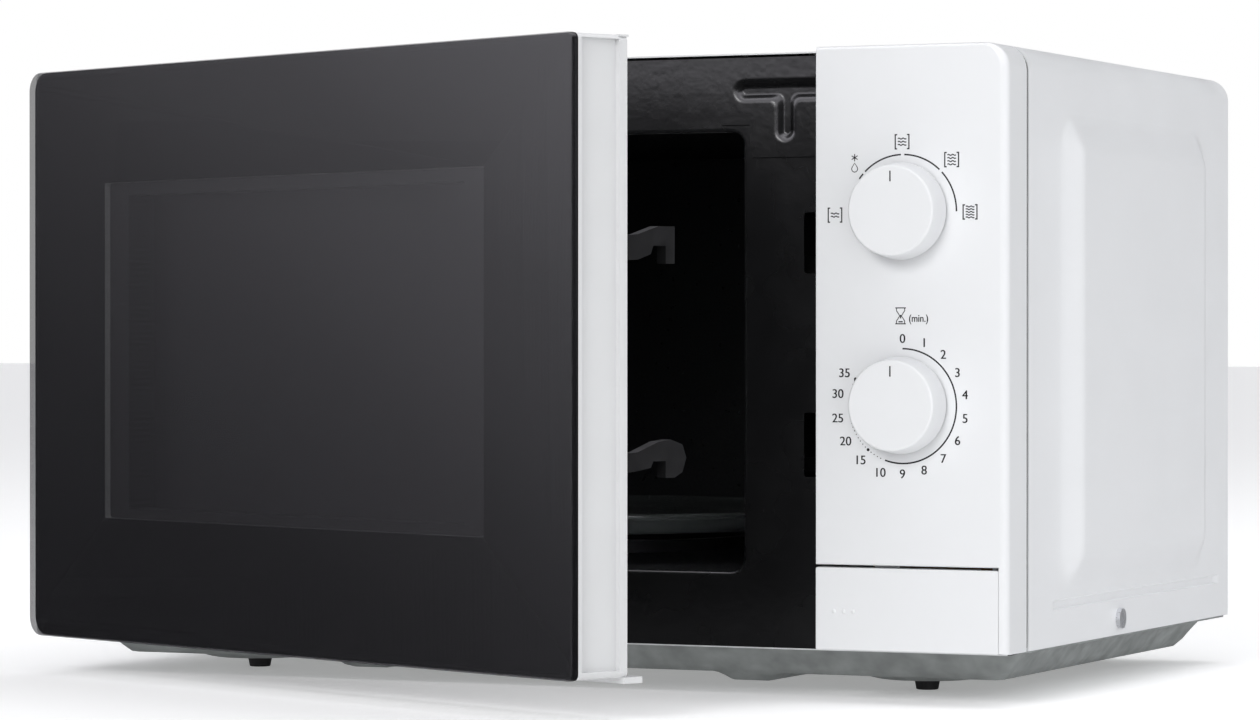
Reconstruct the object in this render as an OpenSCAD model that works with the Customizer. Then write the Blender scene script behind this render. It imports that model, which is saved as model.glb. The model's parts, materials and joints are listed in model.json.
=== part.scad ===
/* [Cabinet] */
// Width across the flat sides of the cover
cabinet_w = 439.5; // [430:0.5:460]
// Height of the top above the table
cabinet_h = 258; // [258:1:275]
// Depth from the control panel's face to the rear edge of the cover
cabinet_d = 286; // [286:1:310]
// Gap between the table and the lower edge of the cover
under_gap = 20.8; // [19:0.2:21.4]
// Radius of the cover's two long top edges
cover_r = 10; // [6:0.5:12]
// Thickness of the sheet metal
sheet = 1; // [0.8:0.1:1]
// How far the raised side panels stand out
side_relief = 5.5; // [3:0.5:6]

/* [Control panel] */
// Left edge of the control panel, from the middle of the cabinet
panel_x = 139.5; // [139.5:0.5:140]
// Depth of the control panel
panel_d = 23.5; // [22:0.5:23.5]
// Wall thickness of the control panel
panel_wall = 2.5; // [2:0.1:2.5]
// Height of the door-open button
button_h = 32.5; // [30:0.5:32.5]
// Radius of a knob at its face
knob_r = 17.8; // [15:0.2:19]
// Length of a knob
knob_len = 11.5; // [11:0.5:16]
// Height of the power knob's axis above the table
power_z = 192.8; // [190:0.2:194]
// Height of the timer knob's axis above the table
timer_z = 117.1; // [115:0.1:119]

/* [Oven cavity] */
// Left edge of the cavity mouth
cavity_left = -186; // [-188:1:-184]
// Right edge of the cavity mouth
cavity_right = 96.5; // [95:0.5:96.5]
// Height of the cavity floor
cavity_floor = 49; // [48:0.5:49]
// Height of the cavity ceiling
cavity_top = 226.4; // [222:0.2:227]
// Radius of the mouth's corners
mouth_r = 6; // [4:1:10]

/* [Door] */
// How far the door stands open in the built pose, in degrees
door_open = 24; // [20:1:28]
// Thickness of the closed door
door_t = 27.5; // [27:0.5:27.5]
// Thickness of the outer glass
glass_t = 3.3; // [3:0.1:4]
// Gap between the door and the control panel
door_gap = 1.7; // [1.5:0.1:2.5]

/* [Turntable] */
// Radius of the glass tray
tray_r = 122.5; // [115:0.5:125]
// Height of the tray's rim above the table
tray_rim = 70; // [69:0.5:72]
// Radius of a roller
roller_r = 5.7; // [5.5:0.1:5.8]

/* [Hidden] */
$fn = 64;

half_w = cabinet_w / 2;
inner_w = half_w - sheet;
hinge_x = -half_w + 10.25;
hinge_y = 19.3;
door_left = -half_w + 0.25;
door_right = panel_x - door_gap;
door_low = 16.3;
door_top = cabinet_h - 1.4;
flange_y = 29;
flange_back = flange_y + sheet;
flange_low = 18.5;
flange_top = cabinet_h - 1.7;
cover_y = 24.5;
rear_y = cabinet_d - 2;
bulge = 12;
cavity_back = 279;
tray_x = (cavity_left + cavity_right) / 2;
tray_y = 155;
tray_base = 61;
button_top = under_gap + button_h;
knob_x = 176;
tip_x = door_right - hinge_x;
door_tip_y = hinge_y - tip_x * sin(door_open) - hinge_y * cos(door_open);
mid_y = (rear_y + sheet + bulge + door_tip_y) / 2;
fit = 0.05;

// Shapes

module box(x0, x1, y0, y1, z0, z1) {
    translate([x0, y0, z0]) cube([x1 - x0, y1 - y0, z1 - z0]);
}

module rounded_rect(a0, a1, b0, b1, r) {
    translate([a0 + r, b0]) square([a1 - a0 - 2 * r, b1 - b0]);
    translate([a0, b0 + r]) square([a1 - a0, b1 - b0 - 2 * r]);
    for (a = [a0 + r, a1 - r], b = [b0 + r, b1 - r])
        translate([a, b]) circle(r);
}

// A plate standing across Y, outlined in X and Z
module plate_y(x0, x1, z0, z1, r, y0, y1) {
    translate([0, y1, 0]) rotate([90, 0, 0])
        linear_extrude(y1 - y0) rounded_rect(x0, x1, z0, z1, r);
}

// A plate standing across X, outlined in Y and Z
module plate_x(y0, y1, z0, z1, r, x0, x1) {
    translate([x0, 0, 0]) rotate([90, 0, 90])
        linear_extrude(x1 - x0) rounded_rect(y0, y1, z0, z1, r);
}

module plate_z(x0, x1, y0, y1, r, z0, z1) {
    translate([0, 0, z0]) linear_extrude(z1 - z0) rounded_rect(x0, x1, y0, y1, r);
}

module rod_x(y, z, r, x0, x1) {
    translate([x0, y, z]) rotate([0, 90, 0]) cylinder(r = r, h = x1 - x0);
}

module rod_y(x, z, r, y0, y1) {
    translate([x, y1, z]) rotate([90, 0, 0]) cylinder(r = r, h = y1 - y0);
}

module rod_z(x, y, r, z0, z1) {
    translate([x, y, z0]) cylinder(r = r, h = z1 - z0);
}

// A profile drawn in Y and Z, extruded along X
module profile_x(x0, x1, points) {
    translate([x0, 0, 0]) rotate([90, 0, 90]) linear_extrude(x1 - x0) polygon(points);
}

// A coil spring standing on Z = 0, with a six-sided wire
module coil(r, wire_r, length, turns) {
    sides = 6;
    steps = 12 * turns;
    run = length - 2 * wire_r;
    points = [
        for (i = [0 : steps], j = [0 : sides - 1])
            let (turn = 360 * turns * i / steps, side = 360 * j / sides, q = r + wire_r * cos(side))
            [q * cos(turn), q * sin(turn), wire_r + run * i / steps + wire_r * sin(side)]
    ];
    walls = [
        for (i = [0 : steps - 1], j = [0 : sides - 1])
            let (a = i * sides + j, b = i * sides + (j + 1) % sides)
            [a, a + sides, b + sides, b]
    ];
    ends = [
        [for (j = [0 : sides - 1]) j],
        [for (j = [0 : sides - 1]) steps * sides + sides - 1 - j]
    ];
    polyhedron(points, concat(walls, ends));
}

// Frames of reference: the cabinet's, and the swung door's

module in_cabinet() {
    translate([0, -mid_y, 0]) children();
}

module in_door() {
    in_cabinet()
        translate([hinge_x, hinge_y, 0]) rotate([0, 0, -door_open])
            translate([-hinge_x, -hinge_y, 0]) children();
}

// Cover, rear and base

module cover_outline(half, low, top, r) {
    translate([-half, low]) square([2 * half, top - r - low]);
    translate([r - half, low]) square([2 * (half - r), top - low]);
    for (side = [-1, 1]) translate([side * (half - r), top - r]) circle(r);
}

module cover_block(y0, y1, half, low, top, r) {
    translate([0, y1, 0]) rotate([90, 0, 0])
        linear_extrude(y1 - y0) cover_outline(half, low, top, r);
}

relief_y = [62, 248];
relief_z = [44, cabinet_h - 27];
relief_run = 12.5;
relief_r = 12;

module side_relief_block(inset, x_in, x_out) {
    hull() {
        plate_x(relief_y[0] + inset, relief_y[1] - inset, relief_z[0] + inset,
            relief_z[1] - inset, relief_r - inset, x_in, x_in + 0.1, $fn = 32);
        plate_x(relief_y[0] + relief_run, relief_y[1] - relief_run,
            relief_z[0] + relief_run, relief_z[1] - relief_run,
            relief_r - inset, x_out - 0.1, x_out, $fn = 32);
    }
}

screw_y = 135;
screw_z = 27.6;
rear_screw_z = [70, 210];
rear_screw_x = inner_w - 8;
screw_hole_r = 1.6;

module cover() {
    groove_y = [54, 270];
    groove_z = [35.5, 39];
    groove_depth = 0.4;
    in_cabinet() color("white") difference() {
        union() {
            difference() {
                cover_block(cover_y, cabinet_d, half_w, under_gap, cabinet_h, cover_r);
                cover_block(cover_y - 1, cabinet_d + 1, inner_w, under_gap - 1,
                    cabinet_h - sheet, cover_r - sheet);
            }
            for (side = [0, 1]) mirror([side, 0, 0])
                side_relief_block(0, inner_w + 0.5, half_w + side_relief);
            for (side = [0, 1], z = rear_screw_z) mirror([side, 0, 0])
                box(rear_screw_x - 6, inner_w + 0.5, rear_y + sheet, cabinet_d, z - 8, z + 8);
        }
        for (side = [0, 1]) mirror([side, 0, 0]) {
            side_relief_block(sheet, inner_w - 0.5, half_w + side_relief - sheet);
            box(half_w - groove_depth, half_w + 1, groove_y[0], groove_y[1],
                groove_z[0], groove_z[1]);
            rod_x(screw_y, screw_z, screw_hole_r, inner_w - 1, half_w + 1);
            for (z = rear_screw_z)
                rod_y(rear_screw_x, z, screw_hole_r, rear_y, cabinet_d + 1);
        }
        box(-half_w - 1, panel_x, cover_y - 1, flange_y + 0.2, 0, cabinet_h + 1);
    }
}

gland_x = 196;
gland_z = 48;
gland_neck_r = 6.5;
bulge_x = [-172, 82];
bulge_z = [58, 216];
vent_h = 4;
vent_pitch = 17;
fan_vent_pitch = 9.4;

module rear_panel() {
    in_cabinet() color("lightgray") difference() {
        union() {
            plate_y(0.4 - inner_w, inner_w - 0.4, 21.9, cabinet_h - sheet - 0.2, 9,
                rear_y, rear_y + sheet);
            plate_y(bulge_x[0], bulge_x[1], bulge_z[0], bulge_z[1], 10,
                rear_y, rear_y + sheet + bulge);
        }
        plate_y(bulge_x[0] + sheet, bulge_x[1] - sheet, bulge_z[0] + sheet,
            bulge_z[1] - sheet, 9, rear_y - 1, rear_y + bulge);
        for (z = [72 : vent_pitch : 191], x = [-150, -85, -20, 45])
            box(x - 24, x + 24, rear_y + bulge - 1, rear_y + bulge + 2, z, z + vent_h);
        for (z = [122 : fan_vent_pitch : 198])
            box(122, 190, rear_y - 1, rear_y + 2, z, z + vent_h);
        for (side = [-1, 1], z = rear_screw_z)
            rod_y(side * rear_screw_x, z, screw_hole_r, rear_y - 1, cabinet_d);
        rod_y(gland_x, gland_z, gland_neck_r, rear_y - 1, rear_y + 2);
    }
}

module cord_gland() {
    in_cabinet() color("black") difference() {
        union() {
            rod_y(gland_x, gland_z, 10, rear_y + sheet, rear_y + sheet + 3);
            rod_y(gland_x, gland_z, gland_neck_r, rear_y - 5, rear_y + sheet);
        }
        rod_y(gland_x, gland_z, 4.1, rear_y - 6, rear_y + 5);
    }
}

foot_x = 155.8;
foot_y = [81, 254];
foot_h = 5.5;
rib_x = [74, 104];
rib_low = 4.2;
dish_low = 8;
pan_inset = 0.4;

// The pan's pressed shape, smaller by grow for its inside
module pan_form(grow) {
    low = dish_low + grow;
    rim = under_gap + grow;
    half_top = 212 - grow;
    run = 10;
    hull() {
        box(-half_top, half_top, 37 + grow, 280 - grow, rim - 0.1, rim);
        box(run - half_top, half_top - run, 37 + run + grow, 280 - run - grow, low, low + 0.1);
    }
    for (side = [0, 1]) mirror([side, 0, 0]) {
        pan_rib(grow);
        for (y = foot_y) translate([foot_x, y, foot_h + grow])
            cylinder(r1 = 19 - grow, r2 = 30 - grow, h = 6);
    }
}

// The straight rib pressed into the pan beside each row of feet
module pan_rib(grow) {
    slope = 6;
    rib_y = [52 + grow, 262 - grow];
    translate([0, rib_y[1], 0]) rotate([90, 0, 0]) linear_extrude(rib_y[1] - rib_y[0])
        polygon([
            [rib_x[0] + grow, dish_low + grow + 0.5], [rib_x[0] + slope + grow, rib_low + grow],
            [rib_x[1] - slope - grow, rib_low + grow], [rib_x[1] - grow, dish_low + grow + 0.5]
        ]);
}

module base_plate() {
    in_cabinet() color("darkseagreen") difference() {
        union() {
            box(0.4 - inner_w, inner_w - 0.4, flange_back + 0.2, rear_y - 0.2,
                under_gap, under_gap + sheet);
            pan_form(0);
        }
        translate([0, 0, sheet - pan_inset]) pan_form(pan_inset);
        box(-211, 211, 38, 279, under_gap + sheet - 0.1, under_gap + sheet + 1);
        for (side = [-1, 1], y = foot_y)
            rod_z(side * foot_x, y, 3, foot_h - 1, foot_h + 3);
        for (row = [0 : 5])
            box(-60, 40, 190 + 10 * row, 194 + 10 * row, dish_low - 1, dish_low + 3);
    }
}

module feet() {
    in_cabinet() color("black") for (side = [-1, 1], y = foot_y)
        translate([side * foot_x, y, 0]) {
            cylinder(r1 = 4.6, r2 = 5.4, h = foot_h);
            translate([0, 0, foot_h]) cylinder(r = 2.9, h = 3.5);
        }
}

module screw(head_r, shank) {
    difference() {
        cylinder(r = head_r, h = 1.8);
        translate([-head_r, -0.4, 1]) cube([2 * head_r, 0.8, 1]);
    }
    translate([0, 0, -shank]) cylinder(r = 1.5, h = shank);
}

module cover_screws() {
    in_cabinet() color("silver") {
        for (side = [0, 1]) mirror([side, 0, 0]) {
            translate([half_w, screw_y, screw_z]) rotate([0, 90, 0]) screw(4.2, 3);
            for (z = rear_screw_z) translate([rear_screw_x, cabinet_d, z])
                rotate([-90, 0, 0]) screw(3.8, 7);
        }
    }
}

// Front flange and cavity

slot_x = [122.8, 136];
slot_z = [[169.2, 193.7], [87.7, 113.5]];

module front_flange() {
    bead_depth = 0.5;
    in_cabinet() color("#18181a") difference() {
        plate_y(0.4 - inner_w, inner_w - 0.4, flange_low, flange_top, 9,
            flange_y, flange_back);
        plate_y(cavity_left, cavity_right, cavity_floor, cavity_top, mouth_r,
            flange_y - 1, flange_back + 1);
        for (z = slot_z)
            box(slot_x[0], slot_x[1], flange_y - 1, flange_back + 1, z[0], z[1]);
        box(142, 212, flange_y - 1, flange_back + 1, 40, cabinet_h - 8);
        plate_y(92, 138, 238.7, 247.1, 4, flange_y - 1, flange_y + bead_depth);
        plate_y(111, 119, 221.7, 243, 3.9, flange_y - 1, flange_y + bead_depth);
    }
}

module cavity_wrap() {
    in_cabinet() color("#202022") difference() {
        box(cavity_left, cavity_right, flange_back, cavity_back + sheet,
            cavity_floor - sheet, cavity_top + sheet);
        box(cavity_left - 1, cavity_right + 1, flange_back - 1, cavity_back,
            cavity_floor, cavity_top);
        rod_z(tray_x, tray_y, 8, cavity_floor - 2, cavity_floor + 1);
    }
}

module cavity_left_wall() {
    in_cabinet() color("#202022")
        box(cavity_left - sheet, cavity_left, flange_back, cavity_back + sheet,
            cavity_floor - sheet, cavity_top + sheet);
}

port_y = [122, 196];
port_z = [128, 168];
mag_y = 164;
duct_y = [96, 109.8];
mag_z = 150;

module cavity_right_wall() {
    in_cabinet() color("#202022") difference() {
        box(cavity_right, cavity_right + sheet, flange_back, cavity_back + sheet,
            cavity_floor - sheet, cavity_top + sheet);
        box(cavity_right - 1, cavity_right + 2, port_y[0], port_y[1], port_z[0], port_z[1]);
        for (row = [0 : 5]) {
            box(cavity_right - 1, cavity_right + 2, 98, 108, 126 + 9 * row, 129 + 9 * row);
            box(cavity_right - 1, cavity_right + 2, 214, 230, 186 + 5 * row, 188 + 5 * row);
        }
    }
}

// Microwave generator

guide_x = cavity_right + sheet;
guide_end = guide_x + 24;

module waveguide() {
    y = [110, 210];
    z = [112, 188];
    in_cabinet() color("silver") difference() {
        box(guide_x, guide_end, y[0], y[1], z[0], z[1]);
        box(guide_x - 1, guide_end - sheet, y[0] + sheet, y[1] - sheet, z[0] + sheet, z[1] - sheet);
        rod_x(mag_y, mag_z, 12, guide_end - 2, guide_end + 1);
    }
}

module mica_cover() {
    in_cabinet() color("tan")
        plate_x(114, 204, 120, 176, 4, cavity_right - 0.5, cavity_right);
}

yoke_x = [guide_end, guide_end + 54];
yoke_y = [124, 204];
yoke_z = [118, 182];

module magnetron_yoke() {
    wall = 1.5;
    in_cabinet() color("lightsteelblue") difference() {
        box(yoke_x[0], yoke_x[1], yoke_y[0], yoke_y[1], yoke_z[0], yoke_z[1]);
        box(yoke_x[0] + wall, yoke_x[1] - wall, yoke_y[0] - 1, yoke_y[1] + 1,
            yoke_z[0] + wall, yoke_z[1] - wall);
        rod_x(mag_y, mag_z, 12, yoke_x[0] - 1, yoke_x[0] + wall + 1);
        rod_x(mag_y, mag_z, 8.5, yoke_x[1] - wall - 1, yoke_x[1] + 1);
    }
}

magnet_t = 7;
magnet_bore = 12;
anode_x = [yoke_x[0] + 1.5 + magnet_t, yoke_x[1] - 1.5 - magnet_t];

module magnetron_tube() {
    in_cabinet() color("orange") {
        rod_x(mag_y, mag_z, 18, anode_x[0], anode_x[1]);
        rod_x(mag_y, mag_z, 10, yoke_x[0] - 8, anode_x[0]);
        rod_x(mag_y, mag_z, 7, yoke_x[0] - 20, yoke_x[0] - 8);
        rod_x(mag_y, mag_z, 8, anode_x[1], yoke_x[1] + 6);
    }
}

module magnetron_fins() {
    gap = (anode_x[1] - anode_x[0]) / 6;
    in_cabinet() color("gainsboro") for (i = [0 : 5]) difference() {
        box(anode_x[0] + gap * (i + 0.4), anode_x[0] + gap * (i + 0.4) + 0.8,
            yoke_y[0] + 4, yoke_y[1] - 4, yoke_z[0] + 1.5, yoke_z[1] - 1.5);
        rod_x(mag_y, mag_z, 18.1, anode_x[0] - 1, anode_x[1] + 1);
    }
}

module magnetron_magnets() {
    in_cabinet() color("dimgray") for (x = [yoke_x[0] + 1.5, yoke_x[1] - 1.5 - magnet_t])
        difference() {
            rod_x(mag_y, mag_z, 27, x, x + magnet_t);
            rod_x(mag_y, mag_z, magnet_bore, x - 1, x + magnet_t + 1);
        }
}

module filter_box() {
    in_cabinet() color("silver") difference() {
        box(yoke_x[1], yoke_x[1] + 28, mag_y - 32, mag_y + 32, 126, 174);
        box(yoke_x[1] - 1, yoke_x[1] + 27, mag_y - 31, mag_y + 31, 127, 173);
    }
}

core_x = [110, 200];
core_y = [100, 156];
core_z = [dish_low + sheet, dish_low + sheet + 74];
leg_x = [140, 170];

module transformer_core() {
    in_cabinet() color("slategray") difference() {
        union() {
            box(core_x[0], core_x[1], core_y[0], core_y[1], core_z[0], core_z[1]);
            box(core_x[0] - 2, core_x[1], core_y[0] - 8, core_y[1] + 8,
                core_z[0], core_z[0] + 2);
        }
        for (x = [leg_x[0] - 15, leg_x[1]])
            box(x, x + 15, core_y[0] - 10, core_y[1] + 10, core_z[0] + 15, core_z[1] - 15);
    }
}

module winding(z0, z1) {
    difference() {
        plate_z(leg_x[0] - 14.5, leg_x[1] + 14.5, core_y[0] - 12, core_y[1] + 12, 12, z0, z1);
        box(leg_x[0] - 0.3, leg_x[1] + 0.3, core_y[0] - 0.3, core_y[1] + 0.3, z0 - 1, z1 + 1);
    }
}

module windings() {
    in_cabinet() {
        color("saddlebrown") winding(core_z[0] + 16, core_z[0] + 34);
        color("peru") winding(core_z[0] + 38, core_z[0] + 58);
    }
}

cap_y = [188, 240];
cap_z = [dish_low + sheet, dish_low + sheet + 32];

module hv_capacitor() {
    in_cabinet() color("lightgray") {
        plate_x(cap_y[0], cap_y[1], cap_z[0], cap_z[1], 15.9, 108, 194);
        for (y = [cap_y[0] + 16, cap_y[1] - 16]) {
            rod_x(y, cap_z[1] - 16, 6, 194, 199);
            box(199, 206, y - 3, y + 3, cap_z[1] - 16.4, cap_z[1] - 15.6);
        }
    }
}

module capacitor_clamp() {
    in_cabinet() color("silver") difference() {
        union() {
            plate_x(cap_y[0] - 1.2, cap_y[1] + 1.2, cap_z[0] - 16, cap_z[1] + 1.2, 17,
                145, 160);
            box(145, 160, cap_y[1] + 1, cap_y[1] + 16, cap_z[0], cap_z[0] + 1.2);
        }
        plate_x(cap_y[0], cap_y[1], cap_z[0] - 17, cap_z[1], 15.9, 144, 161);
        box(144, 161, cap_y[0] - 3, cap_y[1] + 20, cap_z[0] - 20, cap_z[0]);
    }
}

module hv_diode() {
    in_cabinet() color("black") {
        rod_x(cap_y[1] + 8, cap_z[0] + 10, 3.5, 168, 182);
        box(182, 200, cap_y[1] + 7.5, cap_y[1] + 8.5, cap_z[0] + 7, cap_z[0] + 13);
        box(199, 200, cap_y[1] + 4, cap_y[1] + 12, cap_z[0], cap_z[0] + 13);
    }
}

// Cooling fan

fan_x = 156;
fan_z = 162;
fan_y = [240, 264];
fan_r = 44;
fan_shaft_r = 2;

module fan_shroud() {
    in_cabinet() color("whitesmoke") {
        difference() {
            plate_y(fan_x - 50, fan_x + 50, fan_z - 50, fan_z + 50, 6, fan_y[0], fan_y[1]);
            rod_y(fan_x, fan_z, fan_r, fan_y[0] - 1, fan_y[1] + 1);
        }
        for (side = [-1, 1])
            box(fan_x + side * 46 - 3, fan_x + side * 46 + 3, fan_y[1], rear_y,
                fan_z - 40, fan_z + 40);
    }
}

module fan_motor() {
    in_cabinet() color("darkgray") {
        difference() {
            box(fan_x - 43, fan_x + 43, fan_y[1] + 4, fan_y[1] + 6, fan_z - 6, fan_z + 6);
            rod_y(fan_x, fan_z, fan_shaft_r + fit, fan_y[1], fan_y[1] + 7);
        }
        difference() {
            box(fan_x - 26, fan_x + 26, fan_y[1] + 6, fan_y[1] + 18, fan_z - 24, fan_z + 24);
            rod_y(fan_x, fan_z, fan_shaft_r + fit, fan_y[1], fan_y[1] + 14);
        }
    }
}

module fan_blade() {
    in_cabinet() color("white") translate([fan_x, (fan_y[0] + fan_y[1]) / 2, fan_z]) {
        rod_y(0, 0, 10, -6, 6);
        rod_y(0, 0, fan_shaft_r, 6, 24);
        for (i = [0 : 4]) rotate([0, 72 * i, 0])
            rotate([0, 0, 34]) translate([-0.8, -7, 8]) cube([1.6, 14, 32]);
    }
}

module air_duct() {
    in_cabinet() color("whitesmoke") difference() {
        box(guide_x, yoke_x[1], duct_y[0], duct_y[1], 118, 182);
        box(guide_x - 1, yoke_x[1] - 1.5, duct_y[0] + 1.5, duct_y[1] + 1, 119.5, 180.5);
    }
}

// Small electrics

module oven_lamp() {
    lamp_y = 222;
    lamp_z = 200;
    in_cabinet() {
        color("khaki") translate([103, lamp_y, lamp_z]) rotate([0, 90, 0]) {
            cylinder(r1 = 5, r2 = 10, h = 5);
            translate([0, 0, 5]) cylinder(r = 10, h = 7);
            translate([0, 0, 12]) cylinder(r1 = 10, r2 = 8, h = 5);
        }
        color("ivory") rod_x(lamp_y, lamp_z, 8, 120, 134);
        color("silver") {
            box(guide_x, 130, lamp_y + 10.2, lamp_y + 11, lamp_z - 8, lamp_z + 8);
            box(129, 130, lamp_y, lamp_y + 10.2, lamp_z - 8, lamp_z + 8);
        }
    }
}

module thermal_cutouts() {
    disc_r = 8;
    disc_h = 7;
    in_cabinet() color("black") {
        rod_x(104, 205, disc_r, guide_x, guide_x + disc_h);
        rod_z((yoke_x[0] + yoke_x[1]) / 2, mag_y, disc_r, yoke_z[1], yoke_z[1] + disc_h);
    }
}

board_z = 226;

module noise_filter() {
    in_cabinet() {
        color("darkgoldenrod") box(108, 200, 204, rear_y, board_z, board_z + 1.6);
        color("darkred") box(116, 142, 214, 226, board_z + 1.6, board_z + 17);
        color("gray") rod_z(168, 250, 11, board_z + 1.6, board_z + 16);
        color("silver") {
            rod_x(216, board_z + 7.6, 3, 157, 179);
            for (x = [158, 174]) box(x, x + 4, 213.5, 218.5, board_z + 1.6, board_z + 6);
        }
    }
}

// Latch board, switches and release lever

ledge_y = [48, 52];
hook_x = [125, 130];
upper_ledge = 176.5;
lower_ledge = 95.1;
pivot_y = 14;
pivot_z = 75;
pin_r = 2;

module latch_board() {
    in_cabinet() color("ivory") {
        box(101, 104, flange_back, 90, 22, 214);
        box(104, 121.5, flange_back, flange_back + 2.5, 60, 214);
        for (top = [upper_ledge, lower_ledge])
            box(104, 139, ledge_y[0], ledge_y[1], top - 6, top);
        box(104, 133, 68, 84, 193, 195);
        box(104, 138, 74, 90, 112, 114);
    }
}

// Each switch: its left edge, front and foot, and the middle of its plunger in X
upper_switch = [122.5, 68, 165, 127.5];
lower_switch = [117.9, 74, 84, 126.2];
side_switch = [128.1, 74, 84, 129.8];
plunger_w = 1.8;

module microswitch(at) {
    difference() {
        box(at[0], at[0] + 10, at[1], at[1] + 16, at[2], at[2] + 28);
        box(at[3] - plunger_w / 2 - 0.3, at[3] + plunger_w / 2 + 0.3, at[1] - 1, at[1] + 4,
            at[2] + 10, at[2] + 14);
    }
    for (z = [2, 13, 24])
        box(at[0] + 4, at[0] + 6, at[1] + 16, at[1] + 22, at[2] + z, at[2] + z + 1.5);
}

module plunger(at) {
    reach = 9;
    box(at[3] - plunger_w / 2, at[3] + plunger_w / 2, at[1] - reach, at[1] + 1.5,
        at[2] + 10.3, at[2] + 13.7);
}

module microswitches() {
    in_cabinet() color("#303030") for (at = [upper_switch, lower_switch, side_switch])
        microswitch(at);
}

module primary_plunger() {
    in_cabinet() color("firebrick") plunger(upper_switch);
}

module secondary_plunger() {
    in_cabinet() color("firebrick") plunger(lower_switch);
}

module monitor_plunger() {
    in_cabinet() color("firebrick") plunger(side_switch);
}

lever_x = [142.8, 146.6];

module release_lever() {
    in_cabinet() color("lightgray") difference() {
        union() {
            rod_x(pivot_y, pivot_z, 5, lever_x[0], lever_x[1]);
            profile_x(lever_x[0], lever_x[1], [
                [pivot_y - 2, 44], [pivot_y + 3, 44], [pivot_y + 5, pivot_z - 1],
                [46, 82], [46, 87.2], [40, 87.2], [pivot_y - 2, pivot_z + 4]
            ]);
            box(122, lever_x[0] + 1, 40, 44, 83, 87.2);
        }
        rod_x(pivot_y, pivot_z, pin_r + fit, lever_x[0] - 1, lever_x[1] + 1);
    }
}

// Control panel, button and knobs

button_x = [panel_x + 0.2, 216.1];
button_axis_x = 212;
button_axis_y = 9;
button_pin_r = 1.5;
button_depth = 8;
spring_seat = 17;
shaft_r = 3;
unit_y = [6, 38];

module panel_block(inset) {
    corner = 10 - inset;
    edge = 3.5 - inset;
    intersection() {
        plate_y(panel_x - 20, half_w - inset, under_gap - 30, cabinet_h - inset,
            corner, inset, panel_d + 2 * inset);
        plate_z(panel_x - 20, half_w - inset, inset, panel_d + 20, edge,
            under_gap, cabinet_h + 1);
        box(panel_x + inset, half_w, 0, panel_d + inset, under_gap, cabinet_h);
    }
}

module control_panel() {
    shelf = button_top + 0.9;
    in_cabinet() color("white") difference() {
        union() {
            difference() {
                panel_block(0);
                panel_block(panel_wall);
                box(panel_x - 1, button_x[1] + 0.3, -1, panel_d + 1, 0, shelf);
            }
            box(panel_x, half_w - 1, panel_wall - 0.5, panel_d, shelf, shelf + 2);
            box(button_axis_x - 3, half_w - 1, button_axis_y - 3, panel_d,
                under_gap, under_gap + 2);
            rod_z(button_axis_x, button_axis_y, button_pin_r, under_gap + 2, shelf);
            rod_x(pivot_y, pivot_z, pin_r, panel_x + 1, lever_x[1] + 1.5);
            box(panel_x, panel_x + panel_wall, panel_d - 1, flange_y, shelf, cabinet_h - 4);
            box(panel_x, panel_x + panel_wall, button_depth + 7, flange_y, under_gap, shelf + 1);
            box(158, 168, spring_seat, spring_seat + 2, 34, shelf);
            for (x = [152, 194], z = [96, 208])
                box(x, x + 6, panel_wall - 0.5, unit_y[0], z, z + 6);
        }
        for (z = [power_z, timer_z]) rod_y(knob_x, z, 4.2, -1, panel_wall + 1);
        box(lever_x[0] - 0.4, lever_x[1] + 0.6, pivot_y - 4, panel_d + 1,
            shelf - 1, shelf + 3);
    }
}

module open_button() {
    barrel_r = 3;
    in_cabinet() color("white") difference() {
        union() {
            box(button_x[0], button_x[1], 0, panel_wall, under_gap, button_top);
            for (z = [under_gap, button_top - 2])
                box(button_x[0], 206, panel_wall, button_depth, z, z + 2);
            box(button_x[0], button_x[0] + 2, panel_wall, button_depth, under_gap, button_top);
            box(button_axis_x - barrel_r, button_axis_x + barrel_r, panel_wall,
                button_axis_y, 24, button_top - 2);
            rod_z(button_axis_x, button_axis_y, barrel_r, 24, button_top - 2);
            box(lever_x[0], lever_x[1], panel_wall, pivot_y - 2.5, 45, 49);
        }
        rod_z(button_axis_x, button_axis_y, button_pin_r + fit, 23, button_top);
    }
}

module button_spring() {
    in_cabinet() color("silver") translate([163, spring_seat, 40]) rotate([90, 0, 0])
        coil(3, 0.4, spring_seat - panel_wall, 5);
}

module timer_unit() {
    in_cabinet() color("lightgray") difference() {
        union() {
            plate_y(knob_x - 26, knob_x + 26, 92, 218, 3, unit_y[0], unit_y[1]);
            box(knob_x - 6, knob_x + 6, unit_y[1], unit_y[1] + 2, 180, 206);
        }
        for (z = [power_z, timer_z])
            rod_y(knob_x, z, shaft_r + fit, unit_y[0] - 1, unit_y[0] + 9);
    }
}

module timer_motor() {
    in_cabinet() color("silver") rod_y(knob_x, timer_z, 24, unit_y[1], unit_y[1] + 14);
}

module bell() {
    in_cabinet() color("silver") {
        difference() {
            rod_y(knob_x, power_z, 20, unit_y[1] + 2, unit_y[1] + 12);
            rod_y(knob_x, power_z, 19, unit_y[1] + 3, unit_y[1] + 13);
        }
        rod_y(knob_x, power_z, 3, unit_y[1] + 3, unit_y[1] + 8);
    }
}

module control_shaft(z) {
    rod_y(knob_x, z, shaft_r, -9, unit_y[0] + 8);
}

module power_shaft() {
    in_cabinet() color("silver") control_shaft(power_z);
}

module timer_shaft() {
    in_cabinet() color("silver") control_shaft(timer_z);
}

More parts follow.
